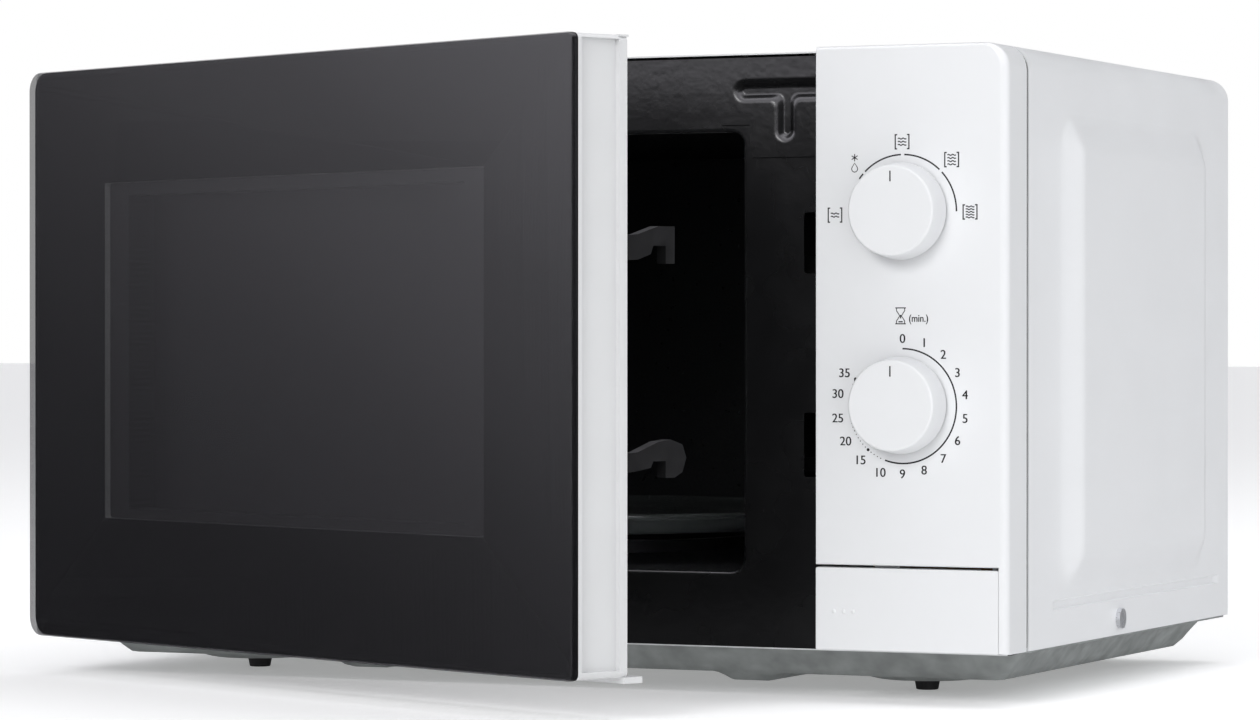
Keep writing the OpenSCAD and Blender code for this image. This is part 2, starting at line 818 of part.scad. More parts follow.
module knob(z) {
    collar = 2;
    translate([knob_x, -1, z]) rotate([90, 0, 0]) difference() {
        union() {
            cylinder(r = knob_r + 1.2, h = collar);
            translate([0, 0, collar])
                cylinder(r1 = knob_r + 0.8, r2 = knob_r, h = knob_len - collar - 1);
            translate([0, 0, knob_len - 1])
                cylinder(r1 = knob_r, r2 = knob_r - 1, h = 1);
        }
        translate([0, 0, -1]) cylinder(r = shaft_r, h = 9);
        translate([-0.4, knob_r - 6.5, knob_len - 0.3]) cube([0.8, 4.1, 1]);
    }
}

module power_knob() {
    in_cabinet() color("white") knob(power_z);
}

module timer_knob() {
    in_cabinet() color("white") knob(timer_z);
}

// Turntable

module turntable_motor() {
    in_cabinet() color("silver") {
        rod_z(tray_x, tray_y, 24, 30, cavity_floor - sheet);
        rod_z(tray_x, tray_y, 3.5, cavity_floor - sheet, cavity_floor + 1);
    }
}

module turntable_coupler() {
    in_cabinet() color("ivory") translate([tray_x, tray_y, 0]) {
        translate([0, 0, cavity_floor + 1.4]) cylinder(r = 9, h = tray_base - cavity_floor - 1.8);
        for (i = [0 : 2]) rotate([0, 0, 120 * i])
            translate([0, -4, cavity_floor + 5]) cube([23, 8, tray_base - cavity_floor - 5.4]);
    }
}

roller_track = 97;
roller_z = cavity_floor + 0.3 + roller_r;
roller_pin_r = 1.5;
ring_r = [82, 89];

module roller_ring() {
    in_cabinet() color("ivory") translate([tray_x, tray_y, 0]) {
        rotate_extrude() translate([ring_r[0], roller_z - 2.5]) square([ring_r[1] - ring_r[0], 5]);
        for (i = [0 : 2]) rotate([0, 0, 120 * i + 30])
            rod_x(0, roller_z, roller_pin_r, ring_r[1] - 2, roller_track + 7);
    }
}

module roller(i) {
    in_cabinet() color("ivory") translate([tray_x, tray_y, 0])
        rotate([0, 0, 120 * i + 30]) difference() {
            rod_x(0, roller_z, roller_r, roller_track - 4, roller_track + 4);
            rod_x(0, roller_z, roller_pin_r + fit, roller_track - 5, roller_track + 5);
        }
}

module roller_1() {
    roller(0);
}

module roller_2() {
    roller(1);
}

module roller_3() {
    roller(2);
}

module glass_tray() {
    t = 4;
    in_cabinet() color("lightcyan") translate([tray_x, tray_y, 0]) {
        rotate_extrude($fn = 128) polygon([
            [0, tray_base], [tray_r - 16, tray_base], [tray_r - 6, tray_base + 3],
            [tray_r, tray_rim - 1], [tray_r, tray_rim], [tray_r - 3, tray_rim],
            [tray_r - 9, tray_base + 3 + t], [tray_r - 17, tray_base + t], [0, tray_base + t]
        ]);
        for (i = [0 : 2]) rotate([0, 0, 120 * i + 60])
            translate([20, 0, tray_base - 4]) cylinder(r = 4, h = 4.5);
    }
}

// Door, drawn closed and then swung open

web_back = glass_t + 2.7;
pocket_x = [door_left + 6.5, door_right - 5.8];
pocket_z = [22, door_top - 5.4];
window_x = [-167.6, 83.1];
window_z = [67.8, 208.4];
recess_x = [-154, 68];
recess_z = [72, 203];
mesh_y = 19;
plate_t = 0.8;
cover_back = door_t - 0.3;
guide_z = [104, 180];
latch_bar = [88, 200];
latch_seat = 222;
barrel_r = 9.2;
notch_z = [[18.8, 27], [door_top - 10.6, door_top - 3.1]];
block_z = [[27, 38], [door_top - 22, door_top - 10.6]];
bracket_z = [22, door_top - 7.6];
hinge_pin_r = 3;

module door_glass() {
    r_left = 8;
    r_right = 2.5;
    in_door() color("#202024") intersection() {
        plate_y(door_left, door_right + 20, door_low, door_top, r_left, 0, glass_t);
        plate_y(door_left - 20, door_right, door_low, door_top, r_right, 0, glass_t);
    }
}

module door_frame() {
    lip_y = 35;
    edge_recess = 2.5;
    in_door() color("white") difference() {
        union() {
            difference() {
                plate_y(door_left + 0.8, door_right - 0.2, door_low + 0.2, door_top - 0.2, 2.5,
                    glass_t, door_t);
                box(pocket_x[0], pocket_x[1], web_back, door_t + 1, pocket_z[0], pocket_z[1]);
                plate_y(window_x[0], window_x[1], window_z[0], window_z[1], 2,
                    glass_t - 1, web_back + 1);
                box(door_right - edge_recess, door_right + 1, 5.1, 23.8, door_low + 3,
                    door_top - 1.8);
            }
            for (z = block_z) box(door_left + 0.8, hinge_x + 9, web_back - 0.5, door_t, z[0], z[1]);
            for (z = guide_z) box(hook_x[1] + 0.1, pocket_x[1] + 1, 11, 21, z, z + 8);
            box(hook_x[0] - 2, pocket_x[1] + 1, 12, 20, latch_bar[0] - 4, latch_bar[0] - 0.1);
            box(hook_x[0] - 2, pocket_x[1] + 1, 12, 20, latch_seat, latch_seat + 4);
            box(-190, door_right - 0.2, 26, lip_y, door_low - 2, door_low + 0.4);
            box(-190, door_right - 0.2, 24, 28.2, door_top - 0.9, door_top - 0.1);
        }
        difference() {
            box(door_left - 5, hinge_x, hinge_y, 60, 0, cabinet_h);
            rod_z(hinge_x, hinge_y, barrel_r, -1, cabinet_h + 1);
        }
        for (z = notch_z) box(door_left - 5, hinge_x + 9, hinge_y - 8.5, door_t + 9, z[0], z[1]);
        for (z = block_z) rod_z(hinge_x, hinge_y, hinge_pin_r + fit, z[0] - 1, z[1] + 1);
    }
}

module hinge_brackets() {
    t = 2;
    reach = [[t, 12], [-9, t]];
    in_cabinet() color("silver") for (i = [0, 1]) {
        z = bracket_z[i];
        rod_z(hinge_x, hinge_y, 6.5, z, z + t);
        box(hinge_x - 6.5, hinge_x + 6.5, hinge_y, flange_y, z, z + t);
        box(hinge_x - 6.5, hinge_x + 6.5, flange_y - 1, flange_y, z - 1.8, z + t + 1.8);
        rod_z(hinge_x, hinge_y, hinge_pin_r, z + min(reach[i]), z + max(reach[i]));
    }
}

module door_plate() {
    in_door() color("dimgray") difference() {
        union() {
            box(-198, 123, web_back, web_back + plate_t, pocket_z[0] + 1, pocket_z[1] - 1);
            box(recess_x[0] - plate_t, recess_x[1] + plate_t, web_back, mesh_y + plate_t,
                recess_z[0] - plate_t, recess_z[1] + plate_t);
        }
        box(recess_x[0], recess_x[1], web_back - 1, mesh_y, recess_z[0], recess_z[1]);
    }
}

module choke_cover() {
    in_door() color("#1c1c1e") difference() {
        plate_y(-196, 121, 30, 243, 4, web_back + plate_t, cover_back);
        plate_y(-190, 115, 36, 237, 3, web_back, cover_back - 2);
        plate_y(recess_x[0] + 6, recess_x[1] - 6, recess_z[0] + 6, recess_z[1] - 6, 3,
            web_back, door_t + 1);
    }
}

module door_film() {
    in_door() color("lightblue")
        plate_y(recess_x[0] - 6, recess_x[1] + 6, recess_z[0] - 6, recess_z[1] + 6, 3,
            cover_back - 2.6, cover_back - 2);
}

module hook_arm(points) {
    profile_x(hook_x[0], hook_x[1], points);
}

module latch_hooks() {
    in_door() color("#1c1c1e") {
        box(hook_x[0], hook_x[1], 12, 20, latch_bar[0], latch_bar[1]);
        hook_arm([
            [19, 172], [39.5, 172.8], [46, 175], [47.2, 178.2], [53.5, 178.2], [53.5, 171.5],
            [58, 171.5], [58, 185.6], [50, 185.6], [39.5, 182.4], [19, 181]
        ]);
        hook_arm([
            [19, 91], [39.5, 93.3], [46, 94.4], [47.2, 96.8], [53.5, 96.8], [53.5, 90.5],
            [58, 90.5], [62, 92.5], [64, 98], [62, 103], [56, 104.9], [50, 104.2],
            [39.5, 100.4], [19, 99]
        ]);
    }
}

module latch_spring() {
    in_door() color("silver") translate([(hook_x[0] + hook_x[1]) / 2, 16, latch_bar[1]])
        coil(2.6, 0.4, latch_seat - latch_bar[1], 7);
}

cover();
rear_panel();
cord_gland();
base_plate();
feet();
cover_screws();
front_flange();
cavity_wrap();
cavity_left_wall();
cavity_right_wall();
waveguide();
mica_cover();
magnetron_yoke();
magnetron_tube();
magnetron_fins();
magnetron_magnets();
filter_box();
transformer_core();
windings();
hv_capacitor();
capacitor_clamp();
hv_diode();
fan_shroud();
fan_motor();
fan_blade();
air_duct();
oven_lamp();
thermal_cutouts();
noise_filter();
latch_board();
microswitches();
primary_plunger();
secondary_plunger();
monitor_plunger();
release_lever();
open_button();
button_spring();
control_panel();
timer_unit();
timer_motor();
bell();
power_shaft();
timer_shaft();
power_knob();
timer_knob();
hinge_brackets();
turntable_motor();
turntable_coupler();
roller_ring();
roller_1();
roller_2();
roller_3();
glass_tray();
door_glass();
door_frame();
door_plate();
door_film();
choke_cover();
latch_hooks();
latch_spring();
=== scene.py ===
"""The looks of a small microwave oven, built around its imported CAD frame."""

import json
import math

import bmesh
import bpy
from mathutils import Matrix, Vector


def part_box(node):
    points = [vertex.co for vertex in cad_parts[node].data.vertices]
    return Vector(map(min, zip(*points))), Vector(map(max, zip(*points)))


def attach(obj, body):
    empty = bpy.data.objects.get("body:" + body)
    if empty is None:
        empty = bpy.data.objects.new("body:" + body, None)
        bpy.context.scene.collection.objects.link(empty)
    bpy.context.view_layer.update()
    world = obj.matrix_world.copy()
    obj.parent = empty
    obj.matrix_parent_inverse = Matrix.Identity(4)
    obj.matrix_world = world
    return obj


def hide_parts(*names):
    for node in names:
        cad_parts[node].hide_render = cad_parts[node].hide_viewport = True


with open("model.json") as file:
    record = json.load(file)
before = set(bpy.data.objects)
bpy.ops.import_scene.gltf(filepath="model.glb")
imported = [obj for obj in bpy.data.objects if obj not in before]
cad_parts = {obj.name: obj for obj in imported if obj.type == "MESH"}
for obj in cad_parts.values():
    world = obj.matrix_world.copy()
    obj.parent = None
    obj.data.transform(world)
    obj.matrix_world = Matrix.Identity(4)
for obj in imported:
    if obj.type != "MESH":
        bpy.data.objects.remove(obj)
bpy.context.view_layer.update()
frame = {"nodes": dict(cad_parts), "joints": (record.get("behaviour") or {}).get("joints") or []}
scene = bpy.context.scene
nodes = frame["nodes"]
joints = {joint["name"]: joint for joint in frame["joints"]}

# Frames of reference. Pieces are drawn in millimetres in the cabinet's own frame: X from the
# middle, Y back from the control panel's face, Z up from the table. Door pieces are drawn closed.

MM = 0.001
FACE_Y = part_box("control_panel")[0].y
HINGE = Vector(joints["door_hinge"]["pos_m"])
OPENING = math.radians(joints["door_hinge"]["range_deg"][0])
CABINET = Matrix.Translation((0, FACE_Y, 0)) @ Matrix.Scale(MM, 4)
SWING = Matrix.Translation(HINGE) @ Matrix.Rotation(OPENING, 4, "Z") @ Matrix.Translation(-HINGE)
DOOR = SWING @ CABINET


def span(node, place=CABINET):
    """A CAD node's lowest and highest corners, in millimetres in the frame that place stands for."""
    inverse = place.inverted()
    points = [inverse @ vertex.co for vertex in nodes[node].data.vertices]
    low = Vector(min(point[i] for point in points) for i in range(3))
    high = Vector(max(point[i] for point in points) for i in range(3))
    return low, high


def axle(joint):
    """Where a joint stands, in millimetres in the cabinet's frame."""
    return CABINET.inverted() @ Vector(joints[joint]["pos_m"])


# Mesh helpers

WELD = 0.001


def steps(low, high, spacing):
    """Evenly spaced values from low to high, at most spacing apart."""
    count = max(1, math.ceil((high - low) / spacing))
    return [low + (high - low) * i / count for i in range(count + 1)]


def smooth(t):
    """A rise from 0 to 1 with level ends, as t goes from 0 to 1."""
    t = min(1, max(0, t))
    return t * t * (3 - 2 * t)


def loft(bm, loops, closed=False, ends=(True, True)):
    """Quads between successive loops of points, with a face over each end that is asked for."""
    rings = [[bm.verts.new(point) for point in loop] for loop in loops]
    pairs = list(zip(rings, rings[1:]))
    if closed:
        pairs.append((rings[-1], rings[0]))
    for here, there in pairs:
        for i in range(len(here)):
            j = (i + 1) % len(here)
            bm.faces.new((here[i], here[j], there[j], there[i]))
    for ring, capped in zip((rings[0], rings[-1]), ends):
        if capped and not closed:
            bm.faces.new(ring)


def grid(bm, rows):
    """Quads between rows of points, with no caps."""
    made = [[bm.verts.new(point) for point in row] for row in rows]
    for here, there in zip(made, made[1:]):
        for i in range(len(here) - 1):
            bm.faces.new((here[i], here[i + 1], there[i + 1], there[i]))


def block(bm, x, y, z):
    """A box from ranges in X, Y and Z."""
    loft(bm, [[Vector((x[0], y[1], level)), Vector((x[1], y[1], level)),
               Vector((x[1], y[0], level)), Vector((x[0], y[0], level))] for level in z])


def rounded(x, z, radius, arc_steps=8):
    """A rounded rectangle's outline in two coordinates, with one radius or one for each corner
    from the lower left, anticlockwise."""
    radii = radius if isinstance(radius, (list, tuple)) else [radius] * 4
    centres = [(x[0], z[0], 1, 1), (x[1], z[0], -1, 1), (x[1], z[1], -1, -1), (x[0], z[1], 1, -1)]
    outline = []
    for i, (cx, cz, sx, sz) in enumerate(centres):
        for k in range(arc_steps + 1):
            angle = math.radians(180 + 90 * i + 90 * k / arc_steps)
            outline.append(Vector((cx + sx * radii[i] + radii[i] * math.cos(angle),
                                   cz + sz * radii[i] + radii[i] * math.sin(angle))))
    return outline


def upright(outline, y):
    """An outline drawn in X and Z, standing at one Y."""
    return [Vector((point.x, y, point.y)) for point in outline]


def lathe(bm, profile, centre, axis, count=72, closed=False):
    """A solid of revolution: profile is (radius, distance along axis from centre)."""
    axis = Vector(axis)
    u = axis.orthogonal().normalized()
    v = axis.cross(u)
    loops = []
    for radius, along in profile:
        loops.append([centre + axis * along
                      + u * radius * math.cos(math.tau * i / count)
                      + v * radius * math.sin(math.tau * i / count) for i in range(count)])
    loft(bm, loops, closed=closed)


def fillet(centre, radius, start, end, count=6):
    """Points on an arc in a lathe profile, with angles in degrees."""
    return [(centre[0] + radius * math.cos(math.radians(start + (end - start) * i / count)),
             centre[1] + radius * math.sin(math.radians(start + (end - start) * i / count)))
            for i in range(count + 1)]


def sheet_with_holes(bm, outlines, y):
    """A flat plate, outlined in X and Z with its holes, between two values of Y."""
    curve = bpy.data.curves.new("outline", "CURVE")
    curve.dimensions = "2D"
    curve.fill_mode = "BOTH"
    curve.extrude = (y[1] - y[0]) / 2
    for outline in outlines:
        spline = curve.splines.new("POLY")
        spline.points.add(len(outline) - 1)
        for point, corner in zip(spline.points, outline):
            point.co = (corner.x, corner.y, 0, 1)
        spline.use_cyclic_u = True
    holder = bpy.data.objects.new("outline", curve)
    scene.collection.objects.link(holder)
    flat = bpy.data.meshes.new_from_object(holder.evaluated_get(bpy.context.evaluated_depsgraph_get()))
    flat.transform(Matrix.Translation((0, (y[0] + y[1]) / 2, 0)) @ Matrix.Rotation(math.pi / 2, 4, "X"))
    bm.from_mesh(flat)
    bmesh.ops.remove_doubles(bm, verts=bm.verts, dist=WELD)
    bpy.data.objects.remove(holder)
    bpy.data.curves.remove(curve)
    bpy.data.meshes.remove(flat)


def piece(name, bm, material, body, replaced=(), place=CABINET, bevel=0, sharp=35, wall=0):
    """Makes a piece from a bmesh, with an optional wall thickness and rounded edges, in millimetres."""
    bmesh.ops.recalc_face_normals(bm, faces=bm.faces)
    bm.edges.index_update()
    open_edges = [edge.index for edge in bm.edges if edge.is_boundary]
    mesh = bpy.data.meshes.new(name)
    bm.to_mesh(mesh)
    bm.free()
    mesh.transform(place)
    mesh.shade_smooth()
    mesh.set_sharp_from_angle(angle=math.radians(sharp))
    for index in open_edges:
        mesh.edges[index].use_edge_sharp = True
    mesh.materials.append(material)
    made = bpy.data.objects.new(name, mesh)
    scene.collection.objects.link(made)
    if wall:
        solid = made.modifiers.new("wall", "SOLIDIFY")
        solid.thickness = wall * MM
        solid.offset = -1
        solid.use_even_offset = True
    if bevel:
        soften(made, bevel)
    flat = made.modifiers.new("flat_faces", "WEIGHTED_NORMAL")
    flat.keep_sharp = True
    flat.weight = 100
    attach(made, body)
    if replaced:
        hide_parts(*replaced)
    return made


def soften(made, width, segments=3):
    """Rounds the sharp edges of a piece or a CAD node."""
    rounding = made.modifiers.new("rounding", "BEVEL")
    rounding.width = width * MM
    rounding.segments = segments
    rounding.limit_method = "ANGLE"
    rounding.angle_limit = math.radians(40)
    rounding.use_clamp_overlap = True
    rounding.harden_normals = True


# Materials


class Surface:
    """A procedural material: a Principled shader with small variations of colour, gloss and height."""

    noise_range = (0.3, 0.7)

    def __init__(self, name, colour, roughness, metallic=0.0):
        self.material = bpy.data.materials.new(name)
        self.material.use_nodes = True
        self.tree = self.material.node_tree
        self.shader = self.tree.nodes["Principled BSDF"]
        self.shader.inputs["Base Color"].default_value = (*colour, 1)
        self.shader.inputs["Roughness"].default_value = roughness
        self.shader.inputs["Metallic"].default_value = metallic
        self.coordinates = self.tree.nodes.new("ShaderNodeTexCoord").outputs["Object"]
        self.colour = colour
        self.roughness = roughness
        self.height = None

    def noise(self, size, detail=2.0, stretch=(1, 1, 1)):
        """Noise whose features are about size millimetres across, from 0 to 1."""
        mapping = self.tree.nodes.new("ShaderNodeMapping")
        mapping.inputs["Scale"].default_value = stretch
        texture = self.tree.nodes.new("ShaderNodeTexNoise")
        texture.inputs["Scale"].default_value = 1 / (size * MM)
        texture.inputs["Detail"].default_value = detail
        self.tree.links.new(self.coordinates, mapping.inputs["Vector"])
        self.tree.links.new(mapping.outputs["Vector"], texture.inputs["Vector"])
        return texture.outputs["Fac"]

    def mottle(self, amount, size, stretch=(1, 1, 1)):
        """Varies the colour by a share of itself."""
        ramp = self.tree.nodes.new("ShaderNodeValToRGB")
        for element, position, sign in zip(ramp.color_ramp.elements, self.noise_range, (-1, 1)):
            element.position = position
            element.color = (*[channel * (1 + sign * amount) for channel in self.colour], 1)
        self.tree.links.new(self.noise(size, stretch=stretch), ramp.inputs["Fac"])
        self.tree.links.new(ramp.outputs["Color"], self.shader.inputs["Base Color"])
        return self

    def uneven_gloss(self, amount, size, stretch=(1, 1, 1)):
        """Varies the roughness by a share of itself."""
        spread = self.tree.nodes.new("ShaderNodeMapRange")
        spread.inputs["From Min"].default_value = self.noise_range[0]
        spread.inputs["From Max"].default_value = self.noise_range[1]
        spread.inputs["To Min"].default_value = self.roughness * (1 - amount)
        spread.inputs["To Max"].default_value = self.roughness * (1 + amount)
        self.tree.links.new(self.noise(size, stretch=stretch), spread.inputs["Value"])
        self.tree.links.new(spread.outputs["Result"], self.shader.inputs["Roughness"])
        return self

    def relief(self, depth, size, detail=2.0, stretch=(1, 1, 1)):
        """Adds a height pattern, depth and size in millimetres. Calls add up."""
        bump = self.tree.nodes.new("ShaderNodeBump")
        bump.inputs["Strength"].default_value = 1
        bump.inputs["Distance"].default_value = depth * MM
        self.tree.links.new(self.noise(size, detail, stretch), bump.inputs["Height"])
        if self.height:
            self.tree.links.new(self.height, bump.inputs["Normal"])
        self.height = bump.outputs["Normal"]
        self.tree.links.new(self.height, self.shader.inputs["Normal"])
        return self

    def socket(self, name, value):
        """Sets one of the shader's own inputs."""
        self.shader.inputs[name].default_value = value
        return self


def perforated(surface, pitch, hole, tilt):
    """Draws a staggered field of round holes over a surface that stands in X and Z."""
    tree = surface.tree
    blur = 0.08
    turn = tree.nodes.new("ShaderNodeMapping")
    turn.inputs["Rotation"].default_value = (0, 0, -tilt)
    flat = tree.nodes.new("ShaderNodeMapping")
    flat.inputs["Rotation"].default_value = (0, math.radians(45), 0)
    flat.inputs["Scale"].default_value = (1, 0, 1)
    cells = tree.nodes.new("ShaderNodeTexVoronoi")
    cells.inputs["Randomness"].default_value = 0
    cells.inputs["Scale"].default_value = 1 / (pitch * MM)
    edge = tree.nodes.new("ShaderNodeValToRGB")
    edge.color_ramp.elements[0].position = hole
    edge.color_ramp.elements[1].position = hole + blur
    edge.color_ramp.elements[0].color = (0.001, 0.001, 0.001, 1)
    edge.color_ramp.elements[1].color = (*surface.colour, 1)
    tree.links.new(surface.coordinates, turn.inputs["Vector"])
    tree.links.new(turn.outputs["Vector"], flat.inputs["Vector"])
    tree.links.new(flat.outputs["Vector"], cells.inputs["Vector"])
    tree.links.new(cells.outputs["Distance"], edge.inputs["Fac"])
    tree.links.new(edge.outputs["Color"], surface.shader.inputs["Base Color"])
    return surface


WHITE = (0.765, 0.773, 0.785)
white_enamel = Surface("white_enamel", (0.81, 0.818, 0.832), 0.32).mottle(0.008, 60) \
    .uneven_gloss(0.12, 25).relief(0.02, 1.6, 1)
white_plastic = Surface("white_plastic", WHITE, 0.36).mottle(0.006, 50) \
    .uneven_gloss(0.1, 18).relief(0.008, 0.5, 2)
frame_plastic = Surface("frame_plastic", (0.64, 0.645, 0.65), 0.5).mottle(0.012, 22) \
    .uneven_gloss(0.12, 12).relief(0.02, 0.9, 2)
knob_plastic = Surface("knob_plastic", WHITE, 0.6).mottle(0.006, 50).relief(0.004, 0.6) \
    .socket("Specular IOR Level", 0.3)
ink = Surface("printing_ink", (0.006, 0.006, 0.007), 0.7).mottle(0.1, 3).relief(0.003, 0.4)
black_enamel = Surface("black_enamel", (0.006, 0.006, 0.0065), 0.27).mottle(0.15, 8) \
    .uneven_gloss(0.1, 20).relief(0.08, 3.2, 1)
cavity_enamel = Surface("cavity_enamel", (0.01, 0.0102, 0.011), 0.34).mottle(0.45, 1.1) \
    .uneven_gloss(0.2, 3).relief(0.03, 1.2, 3)
black_plastic = Surface("black_plastic", (0.009, 0.009, 0.0095), 0.42) \
    .socket("Specular IOR Level", 0.3).mottle(0.15, 9) \
    .uneven_gloss(0.15, 6).relief(0.015, 0.5, 3)
galvanised = Surface("galvanised", (0.36, 0.38, 0.375), 0.45, 0.2).mottle(0.16, 9) \
    .uneven_gloss(0.25, 6).relief(0.03, 3)
steel = Surface("steel", (0.6, 0.61, 0.63), 0.34, 0.55).mottle(0.05, 4) \
    .uneven_gloss(0.3, 3, (1, 8, 1)).relief(0.008, 1)
aluminium = Surface("aluminium", (0.74, 0.75, 0.77), 0.34, 1.0).mottle(0.04, 6) \
    .uneven_gloss(0.25, 4, (6, 1, 1)).relief(0.006, 0.8)
ivory_plastic = Surface("ivory_plastic", (0.7, 0.68, 0.62), 0.45).mottle(0.02, 14) \
    .uneven_gloss(0.1, 8).relief(0.01, 0.6, 2)
ferrite = Surface("ferrite", (0.05, 0.05, 0.053), 0.75).mottle(0.25, 2).relief(0.05, 1.2, 3)
lamination = Surface("lamination", (0.13, 0.13, 0.135), 0.5, 0.6).mottle(0.2, 5, (1, 12, 1)) \
    .relief(0.08, 2, 1, (0.2, 14, 0.2))
copper = Surface("copper", (0.5, 0.22, 0.09), 0.3, 0.9).mottle(0.12, 3, (1, 1, 9)) \
    .relief(0.1, 2, 1, (0.2, 0.2, 9))
circuit_board = Surface("circuit_board", (0.3, 0.2, 0.06), 0.5).mottle(0.2, 6).relief(0.02, 1.5)
mica = Surface("mica", (0.33, 0.28, 0.2), 0.45).mottle(0.25, 12, (1, 3, 1)).relief(0.04, 4, 3)
rubber = Surface("rubber", (0.012, 0.012, 0.012), 0.6).mottle(0.2, 3).relief(0.02, 0.8, 3)
red_plastic = Surface("red_plastic", (0.42, 0.02, 0.015), 0.4).mottle(0.08, 3).relief(0.006, 0.5)
lamp_glass = Surface("lamp_glass", (0.85, 0.8, 0.66), 0.15).mottle(0.06, 8).relief(0.005, 3)
lamp_glass.socket("Transmission Weight", 0.6)
mesh_steel = perforated(
    Surface("mesh_steel", (0.034, 0.031, 0.038), 0.5).uneven_gloss(0.2, 4).relief(0.01, 1),
    pitch=1.7, hole=0.3, tilt=OPENING)
pane_glass = Surface("pane_glass", (0.012, 0.012, 0.014), 0.03).uneven_gloss(0.3, 80) \
    .relief(0.004, 60, 1).socket("Alpha", 0.5).socket("IOR", 1.6)
pane_print = Surface("pane_print", (0.009, 0.009, 0.01), 0.9).mottle(0.1, 2) \
    .relief(0.004, 0.6).socket("Specular IOR Level", 0.05)
clear_glass = Surface("clear_glass", (0.86, 0.92, 0.91), 0.04).uneven_gloss(0.4, 30) \
    .relief(0.01, 14, 1).socket("Transmission Weight", 0.95).socket("IOR", 1.5)
clear_film = Surface("clear_film", (0.8, 0.84, 0.86), 0.1).uneven_gloss(0.2, 40) \
    .relief(0.01, 20, 1).socket("Alpha", 0.25)


# Cabinet pieces


def cover_shell():
    """The wrap-round cover, with its raised side panels, low groove and top bends."""
    low, high = span("cover")
    half = span("control_panel")[1].x
    panel_left = span("control_panel")[0].x
    set_back = 0.2
    front_y = span("front_flange")[0].y + set_back
    sheet = 0.6
    spacing = 2.4
    jog = 0.1
    top_r = 10
    bend_steps = 10
    stand_out = high.x - half
    relief_y = (62, 248)
    relief_z = (44, high.z - 27)
    corner_r = 14
    ramp = 12.5
    straight = 0.8
    groove_y = (54, 270)
    groove_z = (35.5, 39)
    groove_depth = 0.9
    groove_end = 2
    groove_side = 0.6

    def push(y, z):
        """How far a point of the side stands out."""
        across = abs(y - sum(relief_y) / 2) - (relief_y[1] - relief_y[0]) / 2 + corner_r
        up = abs(z - sum(relief_z) / 2) - (relief_z[1] - relief_z[0]) / 2 + corner_r
        outside = math.hypot(max(across, 0), max(up, 0)) + min(max(across, up), 0)
        climb = (corner_r - outside) / ramp
        raised = stand_out * (straight * min(max(climb, 0), 1) + (1 - straight) * smooth(climb))
        along = min(y - groove_y[0], groove_y[1] - y)
        into = min(z - groove_z[0], groove_z[1] - z)
        return raised - groove_depth * smooth(along / groove_end) * smooth(into / groove_side + 0.5)

    groove_steps = [edge + shift * groove_side for edge in groove_z for shift in (-1, -0.5, 0, 0.5, 1)]
    side_z = sorted(steps(low.z, high.z - top_r, spacing) + groove_steps)
    arc = [math.radians(90 * i / bend_steps) for i in range(bend_steps + 1)]
    right = [(half, z, 1) for z in side_z[:-1]]
    right += [(half - top_r + top_r * math.cos(a), high.z - top_r + top_r * math.sin(a), 0) for a in arc]
    path = right + [(panel_left, high.z, 0), (panel_left - jog, high.z, 0)]
    path += [(-x, z, -side) for x, z, side in reversed(right)]
    bm = bmesh.new()
    rows = []
    for y in sorted(steps(low.y, high.y, spacing) + [front_y]):
        row = []
        for x, z, side in path:
            depth = max(y, front_y) if x < panel_left else y
            row.append(Vector((x + side * push(depth, z), depth, z)))
        rows.append(row)
    grid(bm, rows)
    bmesh.ops.remove_doubles(bm, verts=bm.verts, dist=WELD)
    bmesh.ops.dissolve_degenerate(bm, edges=bm.edges, dist=WELD)
    return piece("cover_shell", bm, white_enamel.material, "cabinet", ["cover"],
                 sharp=50, wall=sheet)


def panel_outline(low, high, notch, inset, corner):
    """The control panel's face with its notch for the button, drawn in by an amount on each side."""
    left, right, bottom, top = inset
    arc_steps = 8
    least_leg = 0.05
    arc = []
    for i in range(arc_steps + 1):
        angle = math.radians(90 * i / arc_steps)
        arc.append(Vector((high.x - corner + (corner - right) * math.cos(angle),
                           high.z - corner + (corner - top) * math.sin(angle))))
    leg = min(notch.x, high.x - right - least_leg)
    return [Vector((leg, low.z + bottom)), Vector((high.x - right, low.z + bottom)), *arc,
            Vector((low.x + left, high.z - top)), Vector((low.x + left, notch.y + bottom)),
            Vector((leg, notch.y + bottom))]


